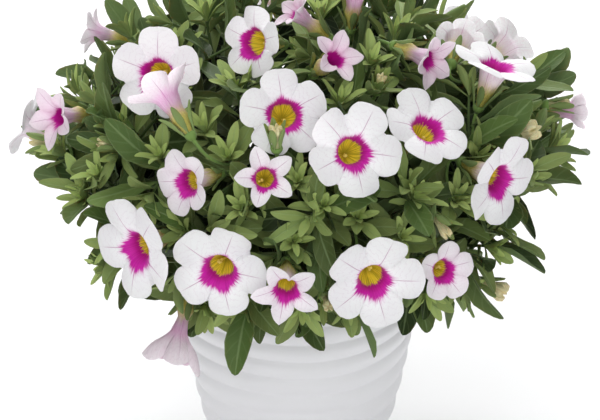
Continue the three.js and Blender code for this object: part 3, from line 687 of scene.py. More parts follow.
# The youth from which a leaf is young, and a blade's width as a share of its length, young or grown.
YOUNG_FROM, YOUNG_WIDTH, GROWN_WIDTH = 0.35, 0.25, 0.34


def side_shoots(plant, settings, depth):
    """Short leafy shoots that fill the crown: a golden spiral of places over the dome at a depth
    inside it, each reached from the nearest twig. Returns them by node."""
    shoots = {stem[0]: [] for stem in STEMS}
    seats = [(twig, on_twig(twig, share)) for twig in plant.twigs for share in SHOOT["seats"]]
    places = np.array([place for _, place in seats])
    rng = np.random.default_rng(settings.seed)
    low = np.sin(np.radians(settings.lowest))
    for i in range(settings.shoots):
        latitude = np.degrees(np.arcsin(low + (SHOOT["highest"] - low) * (i + 0.5) / settings.shoots))
        azimuth = (i * GOLDEN_ANGLE + 180) % 360 - 180
        if SHOOT["front"] < abs(azimuth) and latitude < SHOOT["low"]:
            continue
        tip = on_crown(azimuth, latitude, -depth - SHOOT["varies"] * rng.random())
        far = np.linalg.norm(places - tip, axis=1)
        nearest = int(np.argmin(far))
        twig, seat = seats[nearest]
        if not SHOOT["shortest"] < far[nearest] < SHOOT["longest"]:
            continue
        # The shoot sets off inward and upward.
        heading = unit(tip - seat)
        out = unit(tip - UP * (CROWN["centre"] - SHOOT["from_below"]))
        bow = (UP * 0.6 - out * 0.4) * far[nearest] * SHOOT["bow"]
        curve = (seat, seat + heading * far[nearest] * 0.5 + bow, tip)
        way = bezier(curve, np.linspace(0.1, 1, 6))
        if hits_a_bloom(way, SHOOT["clear"]) or hides_a_bloom(way) or in_bare_spot(way[-2:]):
            continue
        shoots[twig["node"]].append({
            "node": twig["node"], "curve": curve, "rings": (0, 0.5, 1),
            "across": unit(np.cross(heading, UP) + 0.01), "radii": SHOOT["radii"],
        })
    return shoots


def clear_leaf(root, heading, across, spin, spread, length, width, drop):
    """The first turn of a leaf about its twig that keeps it off the blooms and inside the box."""
    lowest, highest = np.array(SOLID_BOX) / MM
    shares = np.array([0.35, 0.7, 1.0])[:, None]
    for turn, tip in LEAF_TURNS:
        along, upper = leaf_axes(heading, across, spin + turn, spread + tip)
        middle = root + along * length * shares - upper * drop * length * shares**2
        side = np.cross(along, upper) * width / 2
        points = np.concatenate([middle, middle[:2] + side, middle[:2] - side])
        inside = (points > lowest).all() and (points < highest).all()
        pot = (np.hypot(points[:, 0], points[:, 1]) < RIM_RADIUS) & (points[:, 2] < RIM_HEIGHT)
        if not inside or pot.any() or in_bare_spot(points[1:3]):
            continue
        if not hits_a_bloom(points) and not hides_a_bloom(points):
            return along, upper
    return None


def finer_leaves(twigs, seed):
    """More leaves on twigs and shoots: between the ranks, and a rosette of leaflets at each tip."""
    rng = np.random.default_rng(seed)
    grown = []
    for t, (twig, ranks) in enumerate(twigs):
        for r, (at, full, spread, youth) in enumerate(ranks):
            heading = bezier_heading(twig["curve"], at)
            length = full * (0.85 + 0.3 * rng.random())
            width = length * (YOUNG_WIDTH if youth > YOUNG_FROM else GROWN_WIDTH) * (0.9 + 0.3 * rng.random())
            drop = 0.04 + 0.28 * rng.random()
            spin = GOLDEN_ANGLE * (r + 7 * t) + 60
            root = on_twig(twig, at)
            axes = clear_leaf(root, heading, twig["across"], spin, spread, length, width, drop)
            if axes:
                grown.append((root, *axes, length, width, youth, drop))
    return grown


# Along the twig, length, angle to the twig and youth of each added leaf: between the ranks of a
# twig, on a shoot, on a shoot's plainer tip, on a shoot deep inside, and in a rosette.
BETWEEN_RANKS = [
    (0.12, 27, 74, 0), (0.22, 28, 78, 0), (0.3, 27, 72, 0), (0.36, 28, 68, 0), (0.49, 27, 62, 0),
    (0.63, 25, 58, 0.1), (0.77, 22, 52, 0.3),
]
SHOOT_RANKS = [
    (0.16, 26, 76, 0), (0.32, 27, 70, 0), (0.46, 27, 62, 0), (0.6, 26, 56, 0.1), (0.74, 23, 50, 0.2),
    (0.88, 19, 40, 0.4),
]
TOP_PAIR = [(0.97, 20, 34, 0.4), (1, 18, 24, 0.5), (1, 14, 14, 0.7), (1, 10, 8, 0.9)]
DEEP_RANKS = [(0.3, 27, 74, 0), (0.55, 28, 66, 0), (0.75, 27, 56, 0), (0.9, 26, 42, 0), (1, 24, 24, 0)]
ROSETTE = [
    (0.97, 14, 52, 0.65), (1, 13, 42, 0.7), (1, 12.5, 34, 0.8), (1, 12, 29, 0.85), (1, 11.5, 25, 0.9),
    (1, 11, 21, 0.95), (1, 10.5, 17, 1), (1, 9.5, 14, 1), (1, 8.5, 11, 1), (1, 7, 8, 1), (1, 6, 5, 1),
]


# ---------------------------------------------------------------- materials

PETAL_SURFACE = {"subsurface_radius": (1, 0.92, 0.98), "specular_ior_level": 0.25, "sheen_weight": 0.05}


def srgb(red, green, blue):
    """A colour as seen on screen, 0 to 255, as linear light."""
    value = np.array([red, green, blue]) / 255
    linear = np.where(value <= 0.04045, value / 12.92, ((value + 0.055) / 1.055) ** 2.4)
    return tuple(float(v) for v in linear)


class Signal:
    """A value on its way through a material's nodes. Signals add, subtract, multiply and divide."""

    def __init__(self, finish, socket):
        self.finish, self.socket = finish, socket


def arithmetic(operation):
    return lambda first, second: first.finish.maths(operation, first, second)


for method, operation in (("add", "ADD"), ("sub", "SUBTRACT"), ("mul", "MULTIPLY"), ("truediv", "DIVIDE")):
    setattr(Signal, f"__{method}__", arithmetic(operation))


class Finish:
    """A material being put together from nodes."""

    def __init__(self, name, roughness, **constants):
        self.material = bpy.data.materials.new(name)
        self.material.use_nodes = True
        self.tree = self.material.node_tree
        self.surface = self.tree.nodes["Principled BSDF"]
        for label, value in dict(constants, roughness=roughness).items():
            label = label.replace("_", " ").title().replace("Ior", "IOR")
            self.surface.inputs[label].default_value = value

    def feed(self, socket, value):
        """Links a signal to a socket, or sets the socket to a number or a colour."""
        if isinstance(value, Signal):
            self.tree.links.new(value.socket, socket)
        else:
            socket.default_value = (*value, 1) if socket.type == "RGBA" else value

    def node(self, kind, inputs, output=0, **settings):
        """What a new node gives out, its inputs fed by name or number."""
        node = self.tree.nodes.new("ShaderNode" + kind)
        for label, value in settings.items():
            setattr(node, label, value)
        for label, value in inputs.items():
            self.feed(node.inputs[label], value)
        return Signal(self, node.outputs[output])

    def maths(self, operation, *values):
        return self.node("Math", dict(enumerate(values)), operation=operation)

    def split(self, label):
        """The three parts of one of the mesh's own vector attributes."""
        vector = self.node("Attribute", {}, "Vector", attribute_name=label)
        parts = self.node("SeparateXYZ", {"Vector": vector}).socket.node.outputs
        return [Signal(self, part) for part in parts]

    def step(self, value, low, high, bottom=0.0, top=1.0):
        """Smoothly from bottom to top as the value goes from low to high."""
        ends = {"Value": value, "From Min": low, "From Max": high, "To Min": bottom, "To Max": top}
        return self.node("MapRange", ends, interpolation_type="SMOOTHSTEP")

    def noise(self, scale, detail, vector=None, kin=None):
        """Noise over the object's own coordinates, or over a vector and a fourth measure, kin."""
        inputs = {"Scale": scale, "Detail": detail, "Vector": vector or self.node("TexCoord", {}, "Object")}
        if kin:
            return self.node("TexNoise", {**inputs, "W": kin}, "Fac", noise_dimensions="4D")
        return self.node("TexNoise", inputs, "Fac")

    def mix(self, share, first, second):
        """From the first colour to the second."""
        return self.node("Mix", {0: share, 6: first, 7: second}, 2, data_type="RGBA")

    def colour(self, value):
        self.feed(self.surface.inputs["Base Color"], value)

    def bump(self, height, distance, strength=1.0):
        relief = self.node("Bump", {"Height": height, "Distance": distance, "Strength": strength})
        self.feed(self.surface.inputs["Normal"], relief)


class PetalFinish(Finish):
    """What petal materials share. Round the bloom, marks are cos a and sin a, so no seam shows."""

    def __init__(self, name, roughness, **constants):
        super().__init__(name, roughness, **constants)
        x, y, self.share = self.split("mark")
        self.ring, self.blush, kin = self.split("tone")
        angle = self.maths("ARCTAN2", y, x)
        self.fifth = self.maths("COSINE", angle * 5.0)
        self.streaks = self.noise(1.6, 2.0, self.around(angle, 7.0, 1.6), kin)
        self.fine = self.noise(4.8, 2.0, self.around(angle, 7.0, 1.6), kin)
        self.rays = self.noise(1.3, 1.0, self.around(angle, 14.0, 0.8), kin)
        # 1 + cos 5a is nought at a lobe's middle, and a line of even width is narrower far out.
        self.line = self.step(self.fifth + 1.0, 0.0, self.step(self.share, 0.1, 1.0, 0.008, 0.0016), 1.0, 0.0)
        # Side veins leave the midline at a slant and wander.
        slant = self.maths("ARCCOSINE", self.fifth * -0.999) / 3.1416
        wavy = slant * 6.0 - self.share * 15.0 + self.streaks * 6.0
        self.branches = self.step(self.maths("SINE", wavy * 2.4), 0.8, 1.0)

    def around(self, angle, wide, far):
        """(wide cos a, wide sin a, far share): finer round the bloom than out along its lobes."""
        x, y = self.maths("COSINE", angle) * wide, self.maths("SINE", angle) * wide
        return self.node("CombineXYZ", {"X": x, "Y": y, "Z": self.share * far})


def petal_face_finish(colours):
    """The face of the limb: white, a mauve line down each lobe, a feathered magenta ring and a
    yellow throat with olive streaks, darkened deep in the tube by painted shade."""
    finish = PetalFinish("petal_face", 0.6, subsurface_weight=0.6, subsurface_scale=0.0015, **PETAL_SURFACE)
    share, fine, streaks, rays, line = finish.share, finish.fine, finish.streaks, finish.rays, finish.line
    cloud = finish.noise(70.0, 1.0)
    white = finish.mix(finish.step(cloud, 0.35, 0.75, 0.0, 0.6), colours.white, colours.shade)
    white = finish.mix(finish.blush, white, colours.blush)
    veins = finish.branches * finish.step(share, 0.3, 1.0, 0.13, 0.05)
    midline = line * finish.step(share, 0.6, 1.0, 0.62, 0.0)
    drawn = finish.mix(finish.maths("MAXIMUM", veins, midline), white, colours.vein)
    feather = (streaks - 0.5) * 0.34 + (fine - 0.5) * 0.16 + (rays - 0.5) * 0.16
    # The ring reaches further along the lobes' middles than between them.
    lobed = line * 0.06 + finish.fifth * -0.045
    reach = finish.ring + lobed + feather - share
    halo = finish.mix(finish.step(reach, -0.17, -0.02, 0.0, 0.22), drawn, colours.ring)
    ring = finish.mix(finish.step(rays, 0.42, 0.62, 0.0, 0.5), colours.ring, colours.ring_deep)
    ring = finish.mix(finish.step(share, 0.12, -0.2, 0.0, 0.7), ring, colours.ring_deep)
    ringed = finish.mix(finish.step(reach, -0.07, 0.06), halo, ring)
    # A pink bloom's throat is magenta far down.
    shut = finish.step(finish.blush, 0.35, 0.55, 0.0, 0.6)
    lip = share + shut + (fine - 0.5) * 0.5 + (streaks - 0.5) * 0.4
    throat = finish.mix(finish.step(rays, 0.45, 0.58, 0.0, 0.8), colours.throat, colours.streak)
    # Painted shade: the throat darkens towards the depth colour deep in the tube.
    throat = finish.mix(finish.step(share, -0.95, -0.6, 0.7, 0.0), throat, colours.deep)
    finish.colour(finish.mix(finish.step(lip, -0.3, -0.22, 1.0, 0.0), ringed, throat))
    finish.bump(fine * 0.4 + line * -0.8, 0.0005, 0.35)
    return finish.material


def petal_back_finish(colours):
    """The back of the limb and the funnel: pale pink with mauve veins, and yellow-green with
    red-brown streaks towards the calyx."""
    finish = PetalFinish("petal_back", 0.6, subsurface_weight=0.9, subsurface_scale=0.003, **PETAL_SURFACE)
    share, fine, streaks, line = finish.share, finish.fine, finish.streaks, finish.line
    pale = finish.mix(finish.step(streaks, 0.4, 0.7, 0.0, 0.3), colours.back, colours.blush)
    pale = finish.mix(finish.blush * 0.6, pale, colours.blush)
    midline = line * finish.step(share, 0.3, 1.0, 0.7, 0.1)
    limb = finish.mix(finish.maths("MAXIMUM", finish.branches * 0.12, midline), pale, colours.vein)
    # The magenta inside shows through as a faint stain.
    stain = finish.step(share, -0.1, 0.5, 1.0, 0.0) * (finish.blush * 0.36 + 0.16)
    limb = finish.mix(stain * finish.step(streaks, 0.2, 0.8, 0.5, 1.0), limb, colours.ring)
    foot = finish.mix(finish.step(fine, 0.5, 0.66, 0.0, 0.7), colours.tube, colours.tube_streak)
    reach = share + (streaks - 0.5) * 0.7
    finish.colour(finish.mix(finish.step(reach, -1.0, -0.25), foot, limb))
    finish.bump(fine + line * 0.9, 0.0005, 0.6)
    return finish.material


def leaf_finish(name, colours, under):
    """A downy leaf: young yellow-green to aged blue-green, with painted shade that darkens it inside
    the crown, and a slightly paler midrib and edge."""
    finish = Finish(name, 0.56 if under else 0.44, specular_ior_level=0.14, sheen_weight=0.02,
                    sheen_roughness=0.4, sheen_tint=(0.75, 0.9, 0.7, 1), subsurface_weight=0.05,
                    subsurface_scale=0.001)
    across, along, kin = finish.split("mark")
    youth, _, inner = finish.split("tone")
    shade = kin * 0.8 + finish.noise(120.0, 3.0) * 0.3
    aged_and_shaded = finish.mix(shade, colours.dark, colours.mature)
    # Painted shade: leaves darken towards the inner colour deep inside the crown.
    aged_and_shaded = finish.mix(inner * 0.9, aged_and_shaded, colours.deep)
    green = finish.mix(youth, aged_and_shaded, colours.fresh)
    edge = finish.maths("ABSOLUTE", across)
    veins = finish.step(finish.maths("SINE", along * 36.0 - edge * 9.0), 0.7, 1.0, 0.0, 0.07)
    midrib = finish.step(edge, 0.02, 0.14, 0.32, 0.0)
    rim = finish.step(edge, 0.9, 1.0, 0.0, 0.3)
    pale = finish.maths("MAXIMUM", finish.maths("MAXIMUM", veins, midrib), rim)
    green = finish.mix(pale, green, colours.rib)
    if under:
        green = finish.mix(0.5, green, colours.under)
    finish.colour(green)
    finish.bump(finish.noise(2600.0, 2.0) * 0.4 - pale * 2.0, 0.0004, 0.6)
    return finish.material


def stalk_finish(colours):
    """Green, finely downy bark, with painted shade that darkens it inside the crown."""
    finish = Finish("stalk", 0.6, specular_ior_level=0.2, sheen_weight=0.1)
    inner = finish.split("tone")[2]
    green = finish.mix(finish.step(finish.noise(90.0, 3.0), 0.35, 0.7), colours.stalk, colours.mature)
    # Painted shade: stems darken towards the inner colour deep inside the crown.
    finish.colour(finish.mix(inner, green, colours.deep))
    finish.bump(finish.noise(1800.0, 2.0), 0.0003, 0.6)
    return finish.material


def faded_finish(colours):
    """A dry corolla: cream, browner along its folds, green at its foot."""
    finish = PetalFinish("faded_petal", 0.7, specular_ior_level=0.25, subsurface_weight=0.1,
                         subsurface_scale=0.001)
    cream = finish.mix(finish.step(finish.streaks, 0.4, 0.7), colours.cream, colours.dry)
    green = finish.step(finish.share, -1.1, -0.3, 0.6, 0.0)
    finish.colour(finish.mix(green, cream, colours.stalk))
    finish.bump(finish.fine, 0.0006, 0.8)
    return finish.material


def pollen_finish(colours):
    """Grainy yellow."""
    finish = Finish("pollen", 0.6)
    grain = finish.noise(3000.0, 2.0)
    finish.colour(finish.mix(grain, colours.pollen, colours.throat))
    finish.bump(grain, 0.0002, 0.8)
    return finish.material


def glaze_finish(settings):
    """Matt white glaze with a barely uneven gloss."""
    finish = Finish("white_glaze", 0.42, specular_ior_level=0.45, coat_weight=0.06, coat_roughness=0.35)
    cloud = finish.noise(22.0, 3.0)
    finish.colour(finish.mix(cloud, settings.glaze, [part * 0.965 for part in settings.glaze]))
    finish.feed(finish.surface.inputs["Roughness"], finish.step(cloud, 0.3, 0.7, 0.4, 0.5))
    finish.bump(finish.noise(900.0, 2.0), 0.00006, 0.4)
    return finish.material


def peat_finish(settings):
    """Moist dark peat with paler fibres."""
    finish = Finish("peat", 0.95, specular_ior_level=0.15)
    grain = finish.noise(420.0, 5.0)
    finish.colour(finish.mix(finish.step(grain, 0.45, 0.75), settings.peat, settings.fibre))
    finish.bump(finish.noise(1100.0, 3.0), 0.0012)
    return finish.material


# ---------------------------------------------------------------- settings


def colour_of(name, description, shade):
    return bpy.props.FloatVectorProperty(
        name=name, description=description, subtype="COLOR", size=3, min=0, max=1, default=srgb(*shade)
    )


def number_of(name, description, default, **limits):
    kind = bpy.props.IntProperty if isinstance(default, int) else bpy.props.FloatProperty
    return kind(name=name, description=description, default=default, **limits)


class PotSettings(bpy.types.PropertyGroup):
    """The cover pot and the soil in it."""

    rows: number_of("Rows", "Rows of faces up the ribbed wall", 180, min=60)
    columns: number_of("Columns", "Columns of faces round the wall", 168, min=48)
    glaze: colour_of("Glaze", "Colour of the glaze", (245, 245, 248))
    peat: colour_of("Peat", "Colour of the moist soil", (44, 32, 24))
    fibre: colour_of("Fibre", "Colour of the fibres in the soil", (92, 68, 46))
    crumb: number_of("Crumb", "Height of the soil's crumbs", 0.0012, unit="LENGTH", min=0)


class LeafSettings(bpy.types.PropertyGroup):
    """Leaves, stalks and the shoots that fill the crown."""

    shoots: number_of("Side Shoots", "Places over the crown tried for a shoot", 120, min=0)
    lowest: number_of("Lowest Shoot", "Latitude of the lowest shoots, in degrees", -42.0)
    seed: number_of("Seed", "Start of the random draws", 7)
    fresh: colour_of("Fresh", "Youngest leaves", (180, 200, 120))
    mature: colour_of("Mature", "Grown leaves", (98, 124, 65))
    dark: colour_of("Dark", "Oldest leaves", (25, 40, 18))
    # Painted shade: the colour that leaves and stems darken to deep inside the crown.
    deep: colour_of("Inner", "Leaves inside the crown", (7, 13, 4))
    rib: colour_of("Rib", "Midribs, veins and edges", (152, 174, 122))
    under: colour_of("Underside", "Undersides of the leaves", (116, 138, 88))
    stalk: colour_of("Stalk", "Stems and stalks", (118, 150, 76))


class BloomSettings(bpy.types.PropertyGroup):
    """Petals and stamens."""

    columns: number_of("Columns", "Columns of faces round a bloom, a multiple of ten", 100, min=30)
    white: colour_of("White", "Face of the lobes", (250, 247, 252))
    shade: colour_of("Shade", "Faint lilac of the lobes", (240, 233, 243))
    blush: colour_of("Blush", "Pink of half-open and ageing lobes", (233, 195, 217))
    vein: colour_of("Vein", "Line down each lobe", (170, 96, 150))
    ring: colour_of("Ring", "Ring about the throat", (200, 28, 164))
    ring_deep: colour_of("Deep Ring", "Inner part of the ring", (168, 2, 128))
    throat: colour_of("Throat", "Yellow of the throat", (248, 226, 70))
    streak: colour_of("Streak", "Streaks in the throat", (168, 158, 34))
    # Painted shade: the colour the throat darkens to deep inside the tube.
    deep: colour_of("Depth", "Inside of the tube", (150, 138, 32))
    back: colour_of("Back", "Back of the lobes", (246, 238, 247))
    tube: colour_of("Tube", "Outside of the tube", (208, 200, 104))
    tube_streak: colour_of("Tube Streak", "Streaks on the tube", (152, 98, 56))
    cream: colour_of("Cream", "Faded corollas and buds", (247, 239, 192))
    dry: colour_of("Dry", "Folds of faded corollas", (222, 202, 146))
    stalk: colour_of("Foot", "Foot of a faded corolla", (118, 150, 76))
    pollen: colour_of("Pollen", "Anthers and stigma", (238, 232, 150))


class StageSettings(bpy.types.PropertyGroup):
    """The floor, the lights and the camera."""

    floor: colour_of("Floor", "Colour of the floor", (251, 251, 252))
    distance: number_of("Distance", "From the camera to its target", 0.85, unit="LENGTH")
    elevation: number_of("Elevation", "Camera's height above level, in degrees", 17.0)
    lens: number_of("Lens", "Focal length in millimetres", 122.4)
    key: number_of("Key", "Power of the light from the left, in watts", 10.5, min=0)
    fill: number_of("Fill", "Power of the light from the right, in watts", 11.0, min=0)
    top: number_of("Top", "Power of the light from above, in watts", 15.0, min=0)
    back: number_of("Back", "Power of the light on the floor behind, in watts", 54.0, min=0)
    ambient: number_of("Ambient", "Strength of the light from all round", 0.13, min=0)


# ---------------------------------------------------------------- pot and soil

# Radius over which the rim is rounded, share of the foot's radius that stands flat, and heights of
# the rows down the bowl as shares of the pot's.
RIM_ROUND = 0.7
FLAT_FOOT = 0.94
BOWL_ROWS = (1, 0.96, 0.85, 0.7, 0.55, 0.4, 0.25, 0.12)
# The soil's surface is a sum of waves: rows of faces, waves, the longest's pace and its spread in
# radians a millimetre, how far it lies under the solid's, and its seed.
CRUMBS = {"rows": 44, "columns": 120, "waves": 26, "pace": 0.25, "spread": 1.5, "under": 0.4, "seed": 3}


def pot_radius(height):
    """foot + flare (1 - (1 - z/H)^1.65)."""
    below = np.maximum(1 - height / POT["height"], 0)
    return POT["foot"] + POT["flare"] * (1 - below ** POT["power"])


def ribbed_wall(share, angle):
    """The wall's radius and height: rib lines wander round the pot by height = H (u + (0.02 sin a
    + 0.04) sin^2(pi u) + 0.06 sin^2 a sin(pi u) + 0.01 sin(3a + 5u) sin(pi u)), and each rib
    swells by depth |sin(10 pi u)|."""
    bulge = np.sin(np.pi * share)
    height = POT["height"] * (
        share
        - (RIBS["squeeze"] * np.sin(angle) + RIBS["rise"]) * bulge**2
        + RIBS["saddle"] * np.sin(angle) ** 2 * bulge
        + RIBS["ripple"] * np.sin(3 * angle + 5 * share) * bulge
    )
    swell = np.abs(np.sin(np.pi * RIBS["count"] * share))
    return pot_radius(height) - RIBS["depth"] / 2 + RIBS["depth"] * swell, height


class CALIBRACHOA_OT_pot(bpy.types.Operator):
    """Build the ribbed cover pot"""

    bl_idname = "calibrachoa.pot"
    bl_label = "Cover Pot"

    def execute(self, context):
        settings = context.scene.calibrachoa_pot
        angle = angles_round(settings.columns)
        share = np.linspace(0, 1, settings.rows + 1)
        radius, height = ribbed_wall(share[:, None], angle[None])
        bowl_height = np.array([row * POT["height"] for row in BOWL_ROWS] + [POT["floor"]])
        bowl_height = bowl_height[:, None] + 0 * angle
        bowl_radius = pot_radius(bowl_height) - POT["wall"]
        # The rim is rounded over between the wall and the bowl.
        turn = np.linspace(0, np.pi, 7)[1:-1, None] + 0 * angle
        outer, inner = radius[-1], bowl_radius[0]
        rim_radius = (outer + inner) / 2 + (outer - inner) / 2 * np.cos(turn)
        rim_height = POT["height"] - RIM_ROUND * (1 - np.sin(turn))
        height[-1] = bowl_height[0] = POT["height"] - RIM_ROUND
        radius = np.concatenate([FLAT_FOOT * radius[:1], radius, rim_radius, bowl_radius])
        height = np.concatenate([height[:1], height, rim_height, bowl_height])
        work = Patchwork()
        work.skin((0, 0, 0), turned(angle - np.pi / 2, radius, height), (0, 0, POT["floor"]), 0)
        work.piece("cover_pot", [glaze_finish(settings)], "pot", ["pot"])
        return {"FINISHED"}


class CALIBRACHOA_OT_soil(bpy.types.Operator):
    """Build the crumbly potting soil"""

    bl_idname = "calibrachoa.soil"
    bl_label = "Potting Soil"

    def execute(self, context):
        settings = context.scene.calibrachoa_pot
        angle = angles_round(CRUMBS["columns"])
        inset = POT["wall"] + SOIL["clearance"]
        share = np.linspace(0.02, 1, CRUMBS["rows"])[:, None] + 0 * angle
        radius = share * (pot_radius(SOIL["top"]) - inset)
        x, y = radius * np.cos(angle), radius * np.sin(angle)
        rng = np.random.default_rng(CRUMBS["seed"])
        crumbs = np.zeros_like(x)
        for _ in range(CRUMBS["waves"]):
            way, phase = rng.random() * 2 * np.pi, rng.random() * 6.28
            pace = CRUMBS["pace"] + CRUMBS["spread"] * rng.random()
            crumbs += np.sin(pace * (x * np.cos(way) + y * np.sin(way)) + phase)
        crumbs *= settings.crumb / MM / 5 * np.minimum(1, 4 * (1 - share))
        middle = SOIL["top"] + SOIL["mound"] - CRUMBS["under"]
        height = middle - SOIL["mound"] * share**2 + crumbs
        # Half and a quarter of the way up the pot, and just over its floor.
        lower = np.array([POT["height"] / 2, POT["height"] / 4, POT["floor"] + 0.5])[:, None] + 0 * angle
        radius = np.concatenate([radius, pot_radius(lower) - inset])[::-1]
        height = np.concatenate([height, lower])[::-1]
        work = Patchwork()
        work.skin((0, 0, height[0, 0]), turned(angle, radius, height), (0, 0, middle), 0)
        work.piece("potting_soil", [peat_finish(settings)], "soil", ["soil"])
        return {"FINISHED"}


# ---------------------------------------------------------------- foliage

# What the materials read on each kind of limb: its youth, its draw and how deep inside it grows,
# which sets its painted shade.
MAIN_TONE, TWIG_TONE, STALK_TONE, CALYX_TONE = (0, 0.5, 0.9), (0, 0.5, 0.6), (0, 0.5, 0), (0.35, 0.5, 0)
UPPER, UNDER, BARK = 0, 1, 2
# A calyx's green cup, by height over its floor and radius, and its sepals: where they start, how
# far out, how wide, how young and how bent.
CUP_RINGS = np.array([(-2.4, 0.75), (-1.6, 1.5), (-0.8, 2.1), (0.1, 2.35), (0.9, 2.2)])
SEPAL = {"start": -0.4, "out": 1.7, "slack": 1.02, "width": 2.9, "youth": 0.45, "drop": 0.06, "turn": 36}


def calyx(work, place, axes, tube_length, spread, leaves):
    """A green cup behind the tube, and five leafy sepals that stand round it."""
    floor = -tube_length - CALYX["gap"]
    points = place + axes[2] * (floor + CUP_RINGS[:, :1])
    headings = np.repeat(axes[2:3], len(points), 0)
    tube(work, points, headings, CUP_RINGS[:, 1], 10, axes[0], BARK, CALYX_TONE)
    for k in range(BLOOM["lobes"]):
        angle = np.radians(360 / BLOOM["lobes"] * k + SEPAL["turn"])
        out = axes[0] * np.cos(angle) + axes[1] * np.sin(angle)
        root = place + axes[2] * (floor + SEPAL["start"]) + out * SEPAL["out"]
        tip = place + axes[2] * (floor + CALYX["sepal"]) + out * spread
        along = unit(tip - root)
        upper = -unit(out - (out @ along) * along)
        length = np.linalg.norm(tip - root) * SEPAL["slack"]
        leaves.append((root, along, upper, length, SEPAL["width"], SEPAL["youth"], SEPAL["drop"]))


def main_stem(work, stem):
    """The main stem, from under the soil's top to its fork."""
    curve = main_curve(stem)
    share = np.concatenate([[0], np.linspace(0.02, 1, 9)])
    points = bezier(curve, share)
    points[0] -= UP * STEM["rooted"]
    radii = STEM["foot"] + (STEM["fork"] - STEM["foot"]) * share
    tube(work, points, bezier_heading(curve, share), radii, 8, facing(stem[1] + 90, 0), BARK, MAIN_TONE)


def twig_limb(work, twig):
    """A twig or a shoot along its packed rings, its corners rounded off."""
    share = np.linspace(0, 1, 13)
    points = np.array([on_twig(twig, at) for at in np.maximum(share, twig["rings"][0])])
    points[0] = twig["curve"][0]
    points[1:-1] = (points[:-2] + 2 * points[1:-1] + points[2:]) / 4
    headings = unit(np.gradient(points, axis=0))
    root, tip = twig["radii"]
    tube(work, points, headings, root + (tip - root) * share, 6, twig["across"], BARK, TWIG_TONE)


class CALIBRACHOA_OT_foliage(bpy.types.Operator):
    """Build the leafy stems with their shoots, stalks and calyces"""

    bl_idname = "calibrachoa.foliage"
    bl_label = "Leafy Stems"

    def execute(self, context):
        settings = context.scene.calibrachoa_leaf
        plant = Plant()
        shoots, inner_shoots = (side_shoots(plant, settings, depth) for depth in SHOOT["depths"])
        leaf_sides = [leaf_finish("leaf_upper", settings, False), leaf_finish("leaf_under", settings, True)]
        materials = [*leaf_sides, stalk_finish(settings)]
        for k, stem in enumerate(STEMS):
            node = stem[0]
            work = Patchwork()
            main_stem(work, stem)
            twigs = [twig for twig in plant.twigs if twig["node"] == node]
            for twig in twigs + shoots[node] + inner_shoots[node]:
                twig_limb(work, twig)
            more = [(twig, BETWEEN_RANKS + ROSETTE) for twig in twigs]
            for n, twig in enumerate(shoots[node]):
                more.append((twig, SHOOT_RANKS + (ROSETTE if n % 2 else TOP_PAIR)))
            more += [(twig, DEEP_RANKS) for twig in inner_shoots[node]]
            leaves = plant.leaves[node] + finer_leaves(more, settings.seed + k)
            for name, stalk in plant.stalks[node]:
                place, axes, tube_length = FLOWERS[name]
                share = np.linspace(0, 1, 11)
                radii = STALK["thin"] + (STALK["radius"] - STALK["thin"]) * share
                headings = bezier_heading(stalk, share)
                tube(work, bezier(stalk, share), headings, radii, 8, axes[0], BARK, STALK_TONE)
                spread = TINY_BUD_SEPALS if name.startswith("tiny") else CALYX["tip"]
                calyx(work, place, axes, tube_length, spread, leaves)
            blades(work, leaves, (UPPER, UNDER))
            work.piece(node + "_foliage", materials, "leaf", [node])
        return {"FINISHED"}


# ---------------------------------------------------------------- blooms

# Rows of the limb from the throat to the rim, as shares of its length.
LIMB_ROWS = np.array([0, 0.05, 0.11, 0.18, 0.26, 0.34, 0.43, 0.52, 0.61, 0.7, 0.79, 0.87, 0.94, 0.98, 1])
# The tube inside: height and share of the mouth's radius. Outside: height, share of the mouth's
# radius and what is added to it. Both end in a pole.
TUBE_INSIDE = np.array([(-8.9, 0.17), (-8, 0.32), (-6.6, 0.54), (-5, 0.72), (-3.2, 0.85), (-1.5, 0.93)])
TUBE_OUTSIDE = np.array([
    (-1.5, 1, 0.25), (-3.5, 0.92, 0), (-6, 0.78, 0), (-9, 0, 3.3), (-12, 0, 2.3), (-14.6, 0, 1.6),
    (-15.6, 0, 1.3), (-16, 0, 0.9),
])
POLE_INSIDE, POLE_OUTSIDE = -9.3, -16.1
# Waves round the rim and their height as a share of the limb, and waves round the limb's face.
RIM_RIPPLES = ((13, 0.009), (29, 0.006))
FACE_WAVES = np.arange(3, 8)[:, None]
# How much the lobes differ in size, how high the face's waves go and one edge lies over the next,
# how much narrower or wider the throat gets, the most that a lobe curls, an open lobe's roll
# back and an open bloom's ring, each as the least and what is drawn on top, how deep the tube's
# flutes are, and how much further the ring reaches on its low side.
LIMB = {
    "sizes": 0.09, "swing": 0.56, "overlap": 0.5, "narrower": 1.4, "wider": 2.2, "most_curl": 1.3,
    "roll_back": (-0.3, -0.35), "flutes": 0.035, "ring": (0.19, 0.06), "hang": 0.12,
}
FACE, BACK, POLLEN = 0, 1, 2


